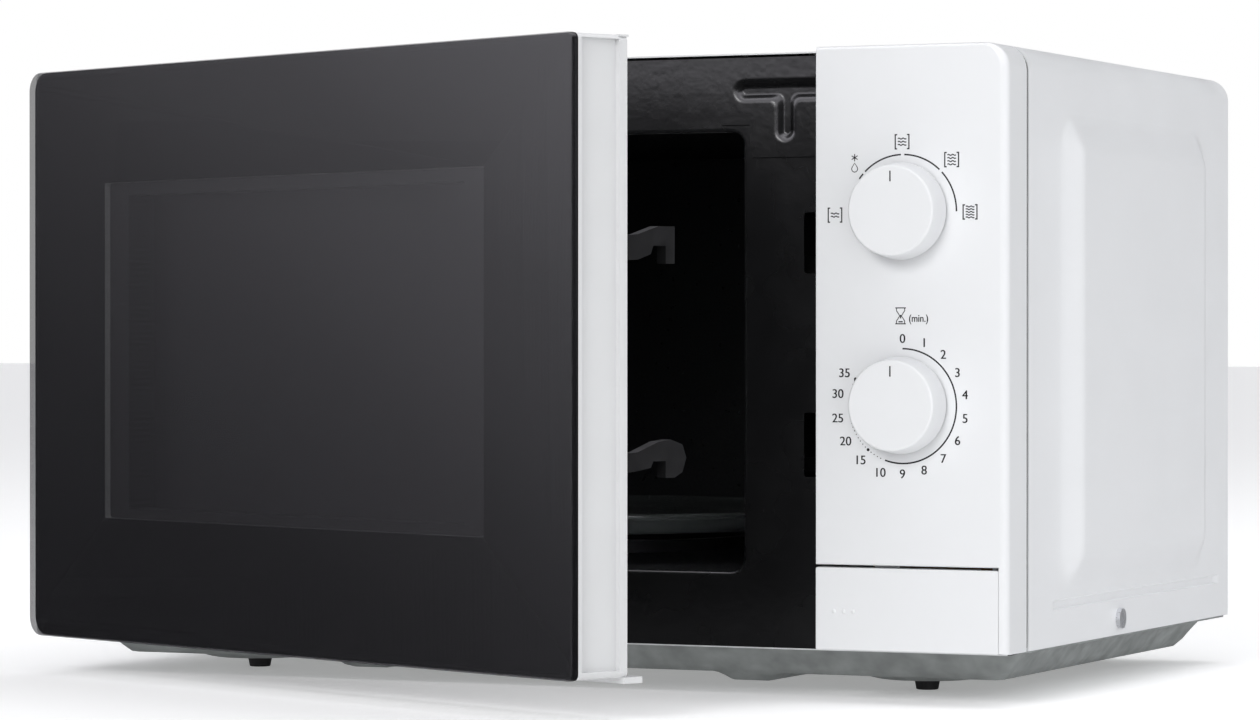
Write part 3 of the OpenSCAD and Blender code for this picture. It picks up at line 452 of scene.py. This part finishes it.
def panel_shell():
    """The moulded control panel: face, folded right edge, shelf over the button and pivot pins."""
    low, high = span("control_panel")
    button_high = span("open_button")[1]
    button_gap = (0.1, 0.9)
    notch = Vector((button_high.x + button_gap[0], button_high.z + button_gap[1]))
    seam = 2.4
    depth = span("cover")[0].y - seam
    wall = 1
    fold = 3.5
    fold_steps = 8
    soft = 0.5
    top_soft = 1.4
    corner = 10
    bm = bmesh.new()
    loops = []
    for i in range(fold_steps + 1):
        t = i / fold_steps
        drawn = 1 - math.sqrt(max(0, 1 - (1 - t) ** 2))
        inset = (soft * drawn, fold * drawn, soft * drawn, top_soft * drawn)
        loops.append(upright(panel_outline(low, high, notch, inset, corner), fold * t))
    loops.append(upright(panel_outline(low, high, notch, (0, 0, 0, 0), corner), depth))
    loft(bm, loops, ends=(True, False))
    shell = piece("panel_shell", bm, white_plastic.material, "cabinet",
                  ["control_panel"], sharp=30, wall=wall)

    pivot = axle("button_press")
    lever = axle("lever_turn")
    shelf = notch.y
    ledge = (0.2, 2)
    ledge_y = 2
    end_x = high.x - 2
    boss = 3
    rest_x = (158, 168)
    rest_y = (17, 19)
    rest_low = 34
    pivot_r = 1.5
    lever_r = 2
    lever_reach = 3.4
    bm = bmesh.new()
    block(bm, (low.x + 1, end_x), (ledge_y, depth), (shelf + ledge[0], shelf + ledge[1]))
    block(bm, (pivot.x - boss, end_x), (pivot.y - boss, depth), (low.z + ledge[0], low.z + ledge[1]))
    block(bm, rest_x, rest_y, (rest_low, shelf + 1))
    lathe(bm, [(pivot_r, low.z + 1), (pivot_r, shelf + 1)], Vector((pivot.x, pivot.y, 0)), (0, 0, 1), 24)
    lathe(bm, [(lever_r, low.x + 1), (lever_r, lever.x + lever_reach)],
          Vector((0, lever.y, lever.z)), (1, 0, 0), 24)
    piece("panel_pins", bm, white_plastic.material, "cabinet", bevel=0.3)
    return shell


def button_cap():
    """The push button: its face with three raised dots, skirt, barrel and pusher."""
    low, high = span("open_button")
    wall = 2.5
    root = wall - 0.1
    leaf = 2
    skirt_x = high.x - 10
    skirt_y = 8
    bore_r = 1.6
    barrel_r = 3
    barrel_z = (24, high.z - leaf)
    arm_short = 1.8
    pusher_x = (142.8, 146.6)
    pusher_y = 11.5
    pusher_z = (45, 49)
    dots_x = (147.5, 151.6, 155.7)
    dots_z = 36.1
    dot_r = 0.9
    dot_h = 0.32
    centre = Vector(((low.x + high.x) / 2, (low.z + high.z) / 2))
    size = Vector(((high.x - low.x) / 2, (high.z - low.z) / 2))
    outline = rounded((low.x, high.x), (low.z, high.z), 0.6, 3)
    bm = bmesh.new()
    loops = []
    for drawn, y in ((0.5, 0), (0.15, 0.12), (0, 0.5), (0, wall)):
        scale = Vector((1 - drawn / size.x, 1 - drawn / size.y))
        drawn_in = [centre + Vector(((p.x - centre.x) * scale.x, (p.y - centre.y) * scale.y))
                    for p in outline]
        loops.append(upright(drawn_in, y))
    loft(bm, loops)
    for z in (low.z, high.z - leaf):
        block(bm, (low.x, skirt_x), (root, skirt_y), (z, z + leaf))
    block(bm, (low.x, low.x + leaf), (root, skirt_y), (low.z + 0.1, high.z - 0.1))
    pivot = axle("button_press")
    block(bm, (pivot.x - barrel_r, pivot.x + barrel_r), (root, pivot.y - arm_short), barrel_z)
    barrel = [(bore_r, barrel_z[0]), (barrel_r, barrel_z[0]), (barrel_r, barrel_z[1]), (bore_r, barrel_z[1])]
    lathe(bm, barrel, Vector((pivot.x, pivot.y, 0)), (0, 0, 1), 32, closed=True)
    block(bm, pusher_x, (root, pusher_y), pusher_z)
    dome = [(dot_r * math.cos(math.radians(a)), dot_h * math.sin(math.radians(a)))
            for a in (0, 25, 50, 75)]
    for x in dots_x:
        lathe(bm, dome, Vector((x, 0, dots_z)), (0, -1, 0), 20)
    return piece("button_cap", bm, white_plastic.material, "button",
                 ["open_button"], sharp=30)


def knob(node, body):
    """A turned knob that narrows to a soft front edge, with a painted pointer."""
    low, high = span(node)
    centre = Vector(((low.x + high.x) / 2, high.y, (low.z + high.z) / 2))
    base_r = (high.x - low.x) / 2
    length = high.y - low.y
    face_r = base_r - 1.2
    bore_r = 3.02
    base_edge = 0.3
    soft = 1.1
    dish = 0.12
    pointer = (11.3, 15.4)
    pointer_w = 0.55
    pointer_h = 0.14
    profile = [(bore_r, 0), (base_r - base_edge, 0), (base_r, base_edge)]
    profile += [(face_r + 0.1, length - soft - 1)]
    profile += fillet((face_r - soft, length - soft), soft, 0, 84, 8)
    profile += [(face_r * 0.6, length - dish), (0.4, length - dish - 0.04)]
    bm = bmesh.new()
    lathe(bm, profile, centre, (0, -1, 0), 128)
    piece(node + "_turned", bm, knob_plastic.material, body, [node], sharp=50)
    bm = bmesh.new()
    mark = [Vector((centre.x, centre.z + up)) for up in pointer]
    ribbon(bm, mark, pointer_w, centre.y - length + dish, pointer_h)
    piece(node + "_pointer", bm, ink.material, body)


def ribbon(bm, points, width, y, thickness=0.05, closed=False):
    """A printed line along points in X and Z, a thin bar in front of one Y."""
    loops = []
    last = len(points) - 1
    for i, here in enumerate(points):
        before = points[i - 1] if i or closed else here
        after = points[(i + 1) % len(points)] if i < last or closed else here
        along = (after - before).normalized()
        side = Vector((-along.y, along.x)) * width / 2
        a = here + side
        b = here - side
        loops.append([Vector((a.x, y, a.y)), Vector((b.x, y, b.y)),
                      Vector((b.x, y - thickness, b.y)), Vector((a.x, y - thickness, a.y))])
    loft(bm, loops, closed=closed)


def dial_point(centre, radius, degrees):
    """A point on a dial, clockwise from its top."""
    angle = math.radians(degrees)
    return centre + Vector((math.sin(angle), math.cos(angle))) * radius


def dial_arc(bm, centre, radius, start, end, width):
    """A printed arc on a dial, between two angles from its top."""
    count = max(2, round(abs(end - start) / 3))
    ribbon(bm, [dial_point(centre, radius, start + (end - start) * i / count)
                for i in range(count + 1)], width, 0)


def dot(bm, centre, radius):
    """A printed dot on the panel's face."""
    lathe(bm, [(radius, 0), (radius, 0.05)], Vector((centre.x, 0, centre.y)), (0, -1, 0), 12)


def letters(bm, text, centre, height, squeeze=1.0):
    """Flat lettering on the panel's face, centred on a point."""
    bold = 0.06
    capital = 0.7
    ink_h = 0.025
    curve = bpy.data.curves.new("lettering", "FONT")
    curve.body = text
    curve.size = height / capital
    curve.align_x = "CENTER"
    curve.extrude = ink_h
    holder = bpy.data.objects.new("lettering", curve)
    scene.collection.objects.link(holder)
    flat = bpy.data.meshes.new_from_object(holder.evaluated_get(bpy.context.evaluated_depsgraph_get()))
    place = Matrix.Translation((centre.x - bold, -ink_h, centre.y - height / 2))
    place = place @ Matrix.Rotation(math.pi / 2, 4, "X") @ Matrix.Diagonal((squeeze, 1, 1, 1))
    flat.transform(place)
    bm.from_mesh(flat)
    flat.transform(Matrix.Translation((2 * bold, 0, 0)))
    bm.from_mesh(flat)
    bpy.data.objects.remove(holder)
    bpy.data.curves.remove(curve)
    bpy.data.meshes.remove(flat)


def wave_symbol(bm, centre, waves):
    """A power level: wavy lines between square brackets."""
    wide = 2.85
    tall = 2.75
    lip = 0.8
    pen = 0.5
    wave_pen = 0.44
    reach = 1.75
    swing = 0.2
    pitch = 1.22 if waves < 5 else 1.05
    for side in (-1, 1):
        for level in (tall, -tall):
            ribbon(bm, [centre + Vector((side * (wide - lip), level)),
                        centre + Vector((side * wide, level))], pen, 0)
        ribbon(bm, [centre + Vector((side * wide, -tall - pen / 2)),
                    centre + Vector((side * wide, tall + pen / 2))], pen, 0)
    for i in range(waves):
        level = (i - (waves - 1) / 2) * pitch
        line = [centre + Vector((t * reach, level + swing * math.sin(t * 2 * math.pi)))
                for t in [k / 10 - 1 for k in range(21)]]
        ribbon(bm, line, wave_pen, 0)


def frost_symbol(bm, centre):
    """Defrosting: a snowflake over a drop."""
    flake = centre + Vector((0, 2.4))
    arm = 1.45
    drop_r = 1.25
    drop_low = 2.0
    for i in range(3):
        tip = Vector((math.sin(math.radians(60 * i)), math.cos(math.radians(60 * i)))) * arm
        ribbon(bm, [flake - tip, flake + tip], 0.36, 0)
    drop = [centre + Vector((0, 0.3))]
    for degrees in range(60, 301, 20):
        angle = math.radians(degrees)
        drop.append(centre + Vector((drop_r * math.sin(angle), drop_r * math.cos(angle) - drop_low)))
    ribbon(bm, drop, 0.34, 0, closed=True)


def hourglass_symbol(bm, centre):
    """Time: an hourglass with sand in its neck and foot."""
    pen = 0.36
    plate_pen = 0.42
    sand_pen = 0.5
    for side in (-1, 1):
        ribbon(bm, [centre + Vector((-2.2, 3.1 * side)), centre + Vector((2.2, 3.1 * side))], plate_pen, 0)
        wall = ((1.7, 3.0), (1.7, 2.0), (0.35, 0), (1.7, -2.0), (1.7, -3.0))
        ribbon(bm, [centre + Vector((right * side, up)) for right, up in wall], pen, 0)
    ribbon(bm, [centre + Vector((0, 0.4)), centre + Vector((0, -1.0))], sand_pen, 0)
    ribbon(bm, [centre + Vector((-0.9, -2.3)), centre + Vector((0.9, -2.3))], sand_pen, 0)


def panel_printing():
    """The two dials' lines, numbers and symbols."""
    offset = Vector((0.4, -0.3))
    power = Vector((joints["power_turn"]["pos_m"][0], joints["power_turn"]["pos_m"][2])) / MM + offset
    timer = Vector((joints["timer_turn"]["pos_m"][0], joints["timer_turn"]["pos_m"][2])) / MM + offset
    ring_r = 22.4
    pen = 0.62
    bm = bmesh.new()
    for start, end in ((-54, -47.5), (-44.5, -1.8), (1.8, 43.2), (46.8, 90)):
        dial_arc(bm, power, ring_r, start, end, pen)
    for right, up, waves in ((-28.4, -0.9, 2), (-0.2, 27.4, 3), (20.4, 20.1, 4), (28.0, -0.3, 5)):
        wave_symbol(bm, power + Vector((right, up)), waves)
    frost_symbol(bm, power + Vector((-20.1, 19.1)))

    fine_dot = 0.22
    end_dot = 0.62
    number_h = 3.5
    one_digit_r = 26.4
    two_digit_r = 27.6
    dial_arc(bm, timer, ring_r, 0, 199, pen)
    for degrees in range(204, 298, 4):
        dot(bm, dial_point(timer, ring_r, degrees), fine_dot)
    for degrees in (220, 298):
        dot(bm, dial_point(timer, ring_r, degrees), end_dot)
    numbers = [(str(n), 20 * n) for n in range(11)]
    numbers += [("15", 220), ("20", 240), ("25", 260), ("30", 280), ("35", 298)]
    for text, degrees in numbers:
        radius = one_digit_r if len(text) == 1 else two_digit_r
        letters(bm, text, dial_point(timer, radius, degrees), number_h)
    glass = Vector((175.6, 152.0))
    hourglass_symbol(bm, glass)
    letters(bm, "(min.)", glass + Vector((7.5, -0.9)), 2.9, 0.85)
    return piece("panel_printing", bm, ink.material, "cabinet", sharp=30)


def bead_depth(x, z, bar, stem, radius):
    """How deep the T-shaped pressing is at a point of the flange."""
    blend = 3
    to_bar = math.hypot(max(bar[0] - x, 0, x - bar[1]), z - bar[2]) - radius
    to_stem = math.hypot(x - stem[0], max(stem[1] - z, 0, z - stem[2])) - radius
    near = max(0, blend - abs(to_bar - to_stem)) / blend
    return -(min(to_bar, to_stem) - near * near * blend / 4)


def flange_plate(low, high, mouth_x, mouth_z, mouth_r, tee):
    """The flange's flat sheet, with its mouth, control bay, latch slots and the T's place cut out."""
    bay_x = (142, 212)
    bay_z = (40, high.z - 6.3)
    slot_x = (122.8, 136)
    outlines = [rounded((low.x, high.x), (low.z, high.z), 9), rounded(mouth_x, mouth_z, mouth_r),
                rounded(bay_x, bay_z, 1, 2), tee]
    for slot_z in ((169.2, 193.7), (87.7, 113.5)):
        outlines.append(rounded(slot_x, slot_z, 1, 3))
    bm = bmesh.new()
    sheet_with_holes(bm, outlines, (low.y, high.y))
    return piece("flange_plate", bm, black_enamel.material, "cabinet",
                 ["front_flange"], sharp=30)


def flange_tee(y, tee_x, tee_z, notch):
    """The T pressed into the flange, in a patch that leaves out its lower left corner."""
    bar = (97, 133, 242.9)
    stem = (115, 226.6, 240)
    radius = 4.6
    depth = 2.4
    ramp = 3.2
    spacing = 0.6
    bm = bmesh.new()
    grid(bm, [[Vector((x, y + depth * smooth(bead_depth(x, z, bar, stem, radius) / ramp), z))
               for x in steps(*tee_x, spacing)] for z in steps(*tee_z, spacing)])
    middles = {face: face.calc_center_median() for face in bm.faces}
    spare = [face for face, middle in middles.items() if middle.x < notch[0] and middle.z < notch[1]]
    bmesh.ops.delete(bm, geom=spare, context="FACES")
    piece("flange_tee", bm, black_enamel.material, "cabinet", sharp=60, wall=0.8)


def flange_pieces():
    """The black front flange: its plate, the pressed T, a white strip along its lower edge that paints a
    highlight there, and the mouth's rolled rim.
    """
    low, high = span("front_flange")
    left = span("cavity_left_wall")[1].x
    right = span("cavity_right_wall")[0].x
    floor = span("cavity_left_wall")[0].z + 1
    ceiling = span("cavity_left_wall")[1].z - 1
    roll = 1.6
    mouth_r = 6
    tee_x = (87, 141)
    tee_z = (216, 253.2)
    notch = (99.6, 229.2)
    tee = [Vector((notch[0], tee_z[0])), Vector((tee_x[1], tee_z[0])), Vector((tee_x[1], tee_z[1])),
           Vector((tee_x[0], tee_z[1])), Vector((tee_x[0], notch[1])), Vector(notch)]
    plate = flange_plate(low, high, (left - roll, right + roll), (floor - roll, ceiling + roll),
                         mouth_r + roll, tee)
    flange_tee(low.y, tee_x, tee_z, notch)

    # A white strip along the flange's lower edge: a painted highlight, standing in for the light that edge
    # catches.
    end = 9
    edge_y = (low.y - 0.3, high.y)
    edge_z = (low.z - 0.1, low.z + 0.4)
    bm = bmesh.new()
    block(bm, (low.x + end, high.x - end), edge_y, edge_z)
    piece("flange_edge_painted_highlight", bm, white_enamel.material, "cabinet", bevel=0.1)

    lip = 1.4
    section = [(roll - roll * math.sin(math.radians(a)), roll - roll * math.cos(math.radians(a)))
               for a in range(0, 91, 15)]
    section += [(0, roll + lip), (roll / 2, roll + lip), (roll, 1)]
    bm = bmesh.new()
    loops = []
    for out, back in section:
        outline = rounded((left - out, right + out), (floor - out, ceiling + out), mouth_r + out, 8)
        loops.append(upright(outline, low.y + back))
    loft(bm, loops, closed=True)
    piece("mouth_rim", bm, black_enamel.material, "cabinet", sharp=50)
    return plate


FOOT_R = 5.4


def base_pan():
    """The pressed base pan, with its ribs and foot bosses."""
    low, high = span("base_plate")
    feet_low, feet_high = span("feet")
    foot_x = feet_high.x - FOOT_R
    foot_y = (feet_low.y + FOOT_R, feet_high.y - FOOT_R)
    rim = span("cover")[0].z
    sheet = 1
    spacing = 3
    pan_low = 8.0
    pan_half = 212
    pan_y = (36, 280)
    slope = 13
    rib_x = (74, 104)
    rib_y = (48, 266)
    rib_depth = 3.8
    rib_side = 7
    rib_end = 8
    boss_low = 5.6
    boss_r = 31
    lowest = 4.2

    def bottom(x, y):
        """The pan's height at a point."""
        edge = min(pan_half - abs(x), y - pan_y[0], pan_y[1] - y)
        level = rim - (rim - pan_low) * smooth(edge / slope)
        across = min(abs(x) - rib_x[0], rib_x[1] - abs(x))
        along = min(y - rib_y[0], rib_y[1] - y)
        rib = rib_depth * smooth(across / rib_side) * smooth(along / rib_end)
        boss = 0
        for row in foot_y:
            away = math.hypot(abs(x) - foot_x, y - row)
            boss = max(boss, smooth((boss_r - away) / slope))
        return max(min(level - rib, level + (boss_low - level) * boss), lowest)

    bm = bmesh.new()
    grid(bm, [[Vector((x, y, bottom(x, y))) for x in steps(low.x, high.x, spacing)]
              for y in steps(low.y, high.y, spacing)])
    bmesh.ops.recalc_face_normals(bm, faces=bm.faces)
    if sum(face.normal.z for face in bm.faces) > 0:
        bmesh.ops.reverse_faces(bm, faces=bm.faces)
    return piece("base_pan", bm, galvanised.material, "cabinet", ["base_plate"],
                 sharp=60, wall=sheet)


def foot_pads():
    """Four moulded rubber feet with a stepped stem."""
    low, high = span("feet")
    foot_h = 5.5
    sole_r = 4.0
    sole_edge = 0.6
    stem_r = 2.9
    profile = [(0.5, 0), (sole_r - 0.1, 0), *fillet((sole_r, sole_edge), sole_edge, -90, 0, 4),
               (FOOT_R, foot_h - 0.6), (FOOT_R - 0.3, foot_h), (stem_r, foot_h + 0.1), (stem_r, high.z)]
    bm = bmesh.new()
    for x in (low.x + FOOT_R, high.x - FOOT_R):
        for y in (low.y + FOOT_R, high.y - FOOT_R):
            lathe(bm, profile, Vector((x, y, 0)), (0, 0, 1), 40)
    return piece("foot_pads", bm, rubber.material, "cabinet", ["feet"], sharp=40)


def tray_pressing():
    """The pressed glass turntable tray with its rounded rim and three drive lugs."""
    low, high = span("glass_tray")
    centre = Vector(((low.x + high.x) / 2, (low.y + high.y) / 2, 0))
    radius = (high.x - low.x) / 2
    clearance = 0.4
    base = span("turntable_coupler")[1].z + clearance
    glass = 4
    lug_ring = 20
    lug_r = 4
    lug_edge = 0.8
    lug_depth = 4
    outer = [(0.5, base), (radius - 17, base), (radius - 12, base + 0.7), (radius - 7, base + 2.6),
             (radius - 3, base + 5.4), (radius - 0.6, high.z - 2.2)]
    rim = fillet((radius - 1.6, high.z - 1.5), 1.5, 10, 170, 8)
    inner = [(radius - 5, base + 6.8), (radius - 9, base + 5.2), (radius - 14, base + glass + 0.5),
             (radius - 20, base + glass), (0.5, base + glass)]
    lug = [(lug_r - lug_edge, base - lug_depth), (lug_r, base - lug_depth + lug_edge), (lug_r, base + 0.5)]
    bm = bmesh.new()
    lathe(bm, outer + rim + inner, centre, (0, 0, 1), 160, closed=True)
    for i in range(3):
        angle = math.radians(120 * i + 60)
        middle = centre + Vector((lug_ring * math.cos(angle), lug_ring * math.sin(angle), 0))
        lathe(bm, lug, middle, (0, 0, 1), 24)
    return piece("tray_pressing", bm, clear_glass.material, "turntable",
                 ["glass_tray"], sharp=50)


# Door pieces


def door_pane():
    """The tinted outer glass, and the black print behind it with its clear window."""
    low, high = span("door_glass", DOOR)
    corners = (8, 2.6, 2.6, 8)
    soft = 0.5
    print_y = high.y - 0.25
    margin = 0.1
    window_x = (-167.6, 83.1)
    window_z = (67.8, 208.4)
    bm = bmesh.new()
    loops = []
    for drawn, y in ((soft, 0), (0.15, 0.15), (0, soft), (0, print_y - soft), (soft, print_y)):
        outline = rounded((low.x + drawn, high.x - drawn), (low.z + drawn, high.z - drawn),
                          [corner - drawn for corner in corners], 10)
        loops.append(upright(outline, y))
    loft(bm, loops)
    pane = piece("door_pane", bm, pane_glass.material, "door", ["door_glass"],
                 place=DOOR, sharp=30)
    edge_x = (low.x + margin, high.x - margin)
    edge_z = (low.z + margin, high.z - margin)
    bm = bmesh.new()
    sheet_with_holes(bm, [rounded(edge_x, edge_z, corners), rounded(window_x, window_z, 0.6, 2)],
                     (print_y, high.y))
    piece("pane_print", bm, pane_print.material, "door", place=DOOR, sharp=30)
    return pane


# Finishes of the CAD nodes that stay

FINISHES = {
    galvanised: ["rear_panel", "waveguide", "magnetron_yoke", "filter_box"],
    cavity_enamel: ["cavity_wrap", "cavity_left_wall", "cavity_right_wall"],
    mica: ["mica_cover"],
    copper: ["magnetron_tube", "windings"],
    aluminium: ["magnetron_fins", "hv_capacitor"],
    ferrite: ["magnetron_magnets"],
    lamination: ["transformer_core", "fan_motor"],
    steel: ["cover_screws", "capacitor_clamp", "timer_motor", "bell", "power_shaft", "timer_shaft",
            "hinge_brackets", "turntable_motor", "button_spring", "latch_spring"],
    black_plastic: ["cord_gland", "hv_diode", "thermal_cutouts", "microswitches", "choke_cover",
                    "latch_hooks", "latch_board", "release_lever", "turntable_coupler",
                    "roller_ring", "roller_1", "roller_2", "roller_3"],
    ivory_plastic: ["fan_shroud", "fan_blade", "air_duct", "timer_unit"],
    lamp_glass: ["oven_lamp"],
    circuit_board: ["noise_filter"],
    red_plastic: ["primary_plunger", "secondary_plunger", "monitor_plunger"],
    frame_plastic: ["door_frame"],
    mesh_steel: ["door_plate"],
    clear_film: ["door_film"],
}
ROUNDINGS = {
    "latch_hooks": 0.7, "door_frame": 0.35, "choke_cover": 0.8, "rear_panel": 0.3,
    "cover_screws": 0.3, "hinge_brackets": 0.4, "release_lever": 0.4, "latch_board": 0.3,
    "cord_gland": 0.5, "turntable_coupler": 0.6, "roller_ring": 0.5, "roller_1": 0.5,
    "roller_2": 0.5, "roller_3": 0.5, "hv_capacitor": 0.8, "transformer_core": 0.4,
    "microswitches": 0.3, "waveguide": 0.5, "timer_unit": 0.6, "fan_shroud": 0.6,
}


def finish_nodes():
    """Gives every CAD node that stays its material and rounded edges."""
    for surface, names in FINISHES.items():
        for name in names:
            kept = nodes[name]
            kept.data.materials.clear()
            kept.data.materials.append(surface.material)
    for name, width in ROUNDINGS.items():
        soften(nodes[name], width, 2)


# Stage


def studio():
    """A pale floor, a white surround and soft lights, with graded panels for gloss to mirror."""
    floor_paint = Surface("floor_paint", (0.92, 0.92, 0.92), 0.8).mottle(0.004, 200) \
        .socket("Emission Strength", 0.25)
    bpy.ops.mesh.primitive_plane_add(size=40)
    floor = bpy.context.object
    floor.name = "studio_floor"
    floor.data.materials.append(floor_paint.material)
    floor.visible_glossy = False

    world = bpy.data.worlds.new("studio")
    scene.world = world
    world.use_nodes = True
    tree = world.node_tree
    links = tree.links

    def math_node(operation, first, second):
        """One sum, of numbers or of other nodes' outputs."""
        made = tree.nodes.new("ShaderNodeMath")
        made.operation = operation
        for socket, value in zip(made.inputs, (first, second)):
            if isinstance(value, (int, float)):
                socket.default_value = value
            else:
                links.new(value, socket)
        return made.outputs[0]

    def ramp(value, stops, tint=(1, 0.98, 1.06)):
        """Brightness from a value, through (position, level) stops."""
        made = tree.nodes.new("ShaderNodeValToRGB")
        made.color_ramp.interpolation = "LINEAR"
        while len(made.color_ramp.elements) < len(stops):
            made.color_ramp.elements.new(0.5)
        for element, (position, level) in zip(made.color_ramp.elements, stops):
            element.position = position
            element.color = (level * tint[0], level * tint[1], level * tint[2], 1)
        links.new(value, made.inputs["Fac"])
        return made.outputs["Color"]

    def mix(factor, first, second):
        """Two colours mixed by a factor."""
        made = tree.nodes.new("ShaderNodeMix")
        made.data_type = "RGBA"
        links.new(factor, made.inputs["Factor"])
        for socket, value in (("A", first), ("B", second)):
            if isinstance(value, tuple):
                made.inputs[socket].default_value = value
            else:
                links.new(value, made.inputs[socket])
        return made.outputs["Result"]

    direction = tree.nodes.new("ShaderNodeTexCoord").outputs["Generated"]
    parts = tree.nodes.new("ShaderNodeSeparateXYZ")
    links.new(direction, parts.inputs["Vector"])
    forward = math_node("MULTIPLY", parts.outputs["Y"], -1)
    height = parts.outputs["Z"]
    round_to_front = math_node("DIVIDE", math_node("SUBTRACT", forward, 0.15), 0.2)
    upward = math_node("DIVIDE", math_node("ADD", height, 0.08), 0.18)
    left_panel = ramp(math_node("DIVIDE", math_node("ADD", round_to_front, upward), 2),
                      [(0, 0.05), (0.175, 0.14), (0.28, 0.24), (0.36, 0.38), (0.42, 0.52),
                       (0.575, 1.08), (0.735, 2.2), (1, 3.2)])
    front_panel = ramp(math_node("DIVIDE", math_node("ADD", height, 0.06), 0.14),
                       [(0, 0.1), (0.25, 0.08), (0.49, 0.13), (0.65, 0.26), (0.79, 0.6),
                        (0.84, 1.2), (1, 2.2)])
    sideways = math_node("DIVIDE", math_node("SUBTRACT", forward, 0.4), 0.25)
    clamped = tree.nodes.new("ShaderNodeClamp")
    links.new(sideways, clamped.inputs["Value"])
    panels = mix(clamped.outputs["Result"], left_panel, front_panel)
    rays = tree.nodes.new("ShaderNodeLightPath")
    rightward = math_node("DIVIDE", math_node("ADD", parts.outputs["X"], 1), 2)
    surround = ramp(rightward, [(0, 0.12), (0.5, 0.42), (1, 1.02)], (0.985, 0.995, 1.01))
    lit = mix(rays.outputs["Is Camera Ray"], surround, (1, 1, 1, 1))
    links.new(mix(rays.outputs["Is Glossy Ray"], lit, panels), tree.nodes["Background"].inputs["Color"])

    aim = Vector((0, 0, 0.12))
    for name, place, size, power in (
        ("key", (-0.1, -2.4, 1.2), (0.8, 0.8), 22),
        ("front_fill", (1.1, -2.6, 1.1), (1.8, 1.4), 6),
        ("overhead", (0.2, 0.4, 2.4), (2.4, 2.4), 20),
    ):
        lamp = bpy.data.lights.new(name, "AREA")
        lamp.shape = "RECTANGLE"
        lamp.size, lamp.size_y = size
        lamp.energy = power
        holder = bpy.data.objects.new(name, lamp)
        holder.location = place
        holder.rotation_euler = (aim - holder.location).to_track_quat("-Z", "Y").to_euler()
        holder.visible_camera = False
        scene.collection.objects.link(holder)


def photographer():
    """A long-lens camera a little above the oven's middle height, in front and to its right."""
    right = 0.8165
    before = 1.646
    height = 0.1434
    bearing = 24.7
    dip = 0.28
    lens = bpy.data.cameras.new("viewpoint")
    lens.sensor_width = 36
    lens.lens = 129.16
    camera = bpy.data.objects.new("viewpoint", lens)
    camera.location = (right, FACE_Y - before, height)
    camera.rotation_euler = (math.radians(90 - dip), 0, math.radians(bearing))
    scene.collection.objects.link(camera)
    scene.camera = camera
    scene.view_settings.view_transform = "Standard"


photographer()
studio()
finish_nodes()
cover_shell()
panel_shell()
button_cap()
knob("power_knob", "power_control")
knob("timer_knob", "timer_control")
panel_printing()
flange_pieces()
base_pan()
foot_pads()
tray_pressing()
door_pane()
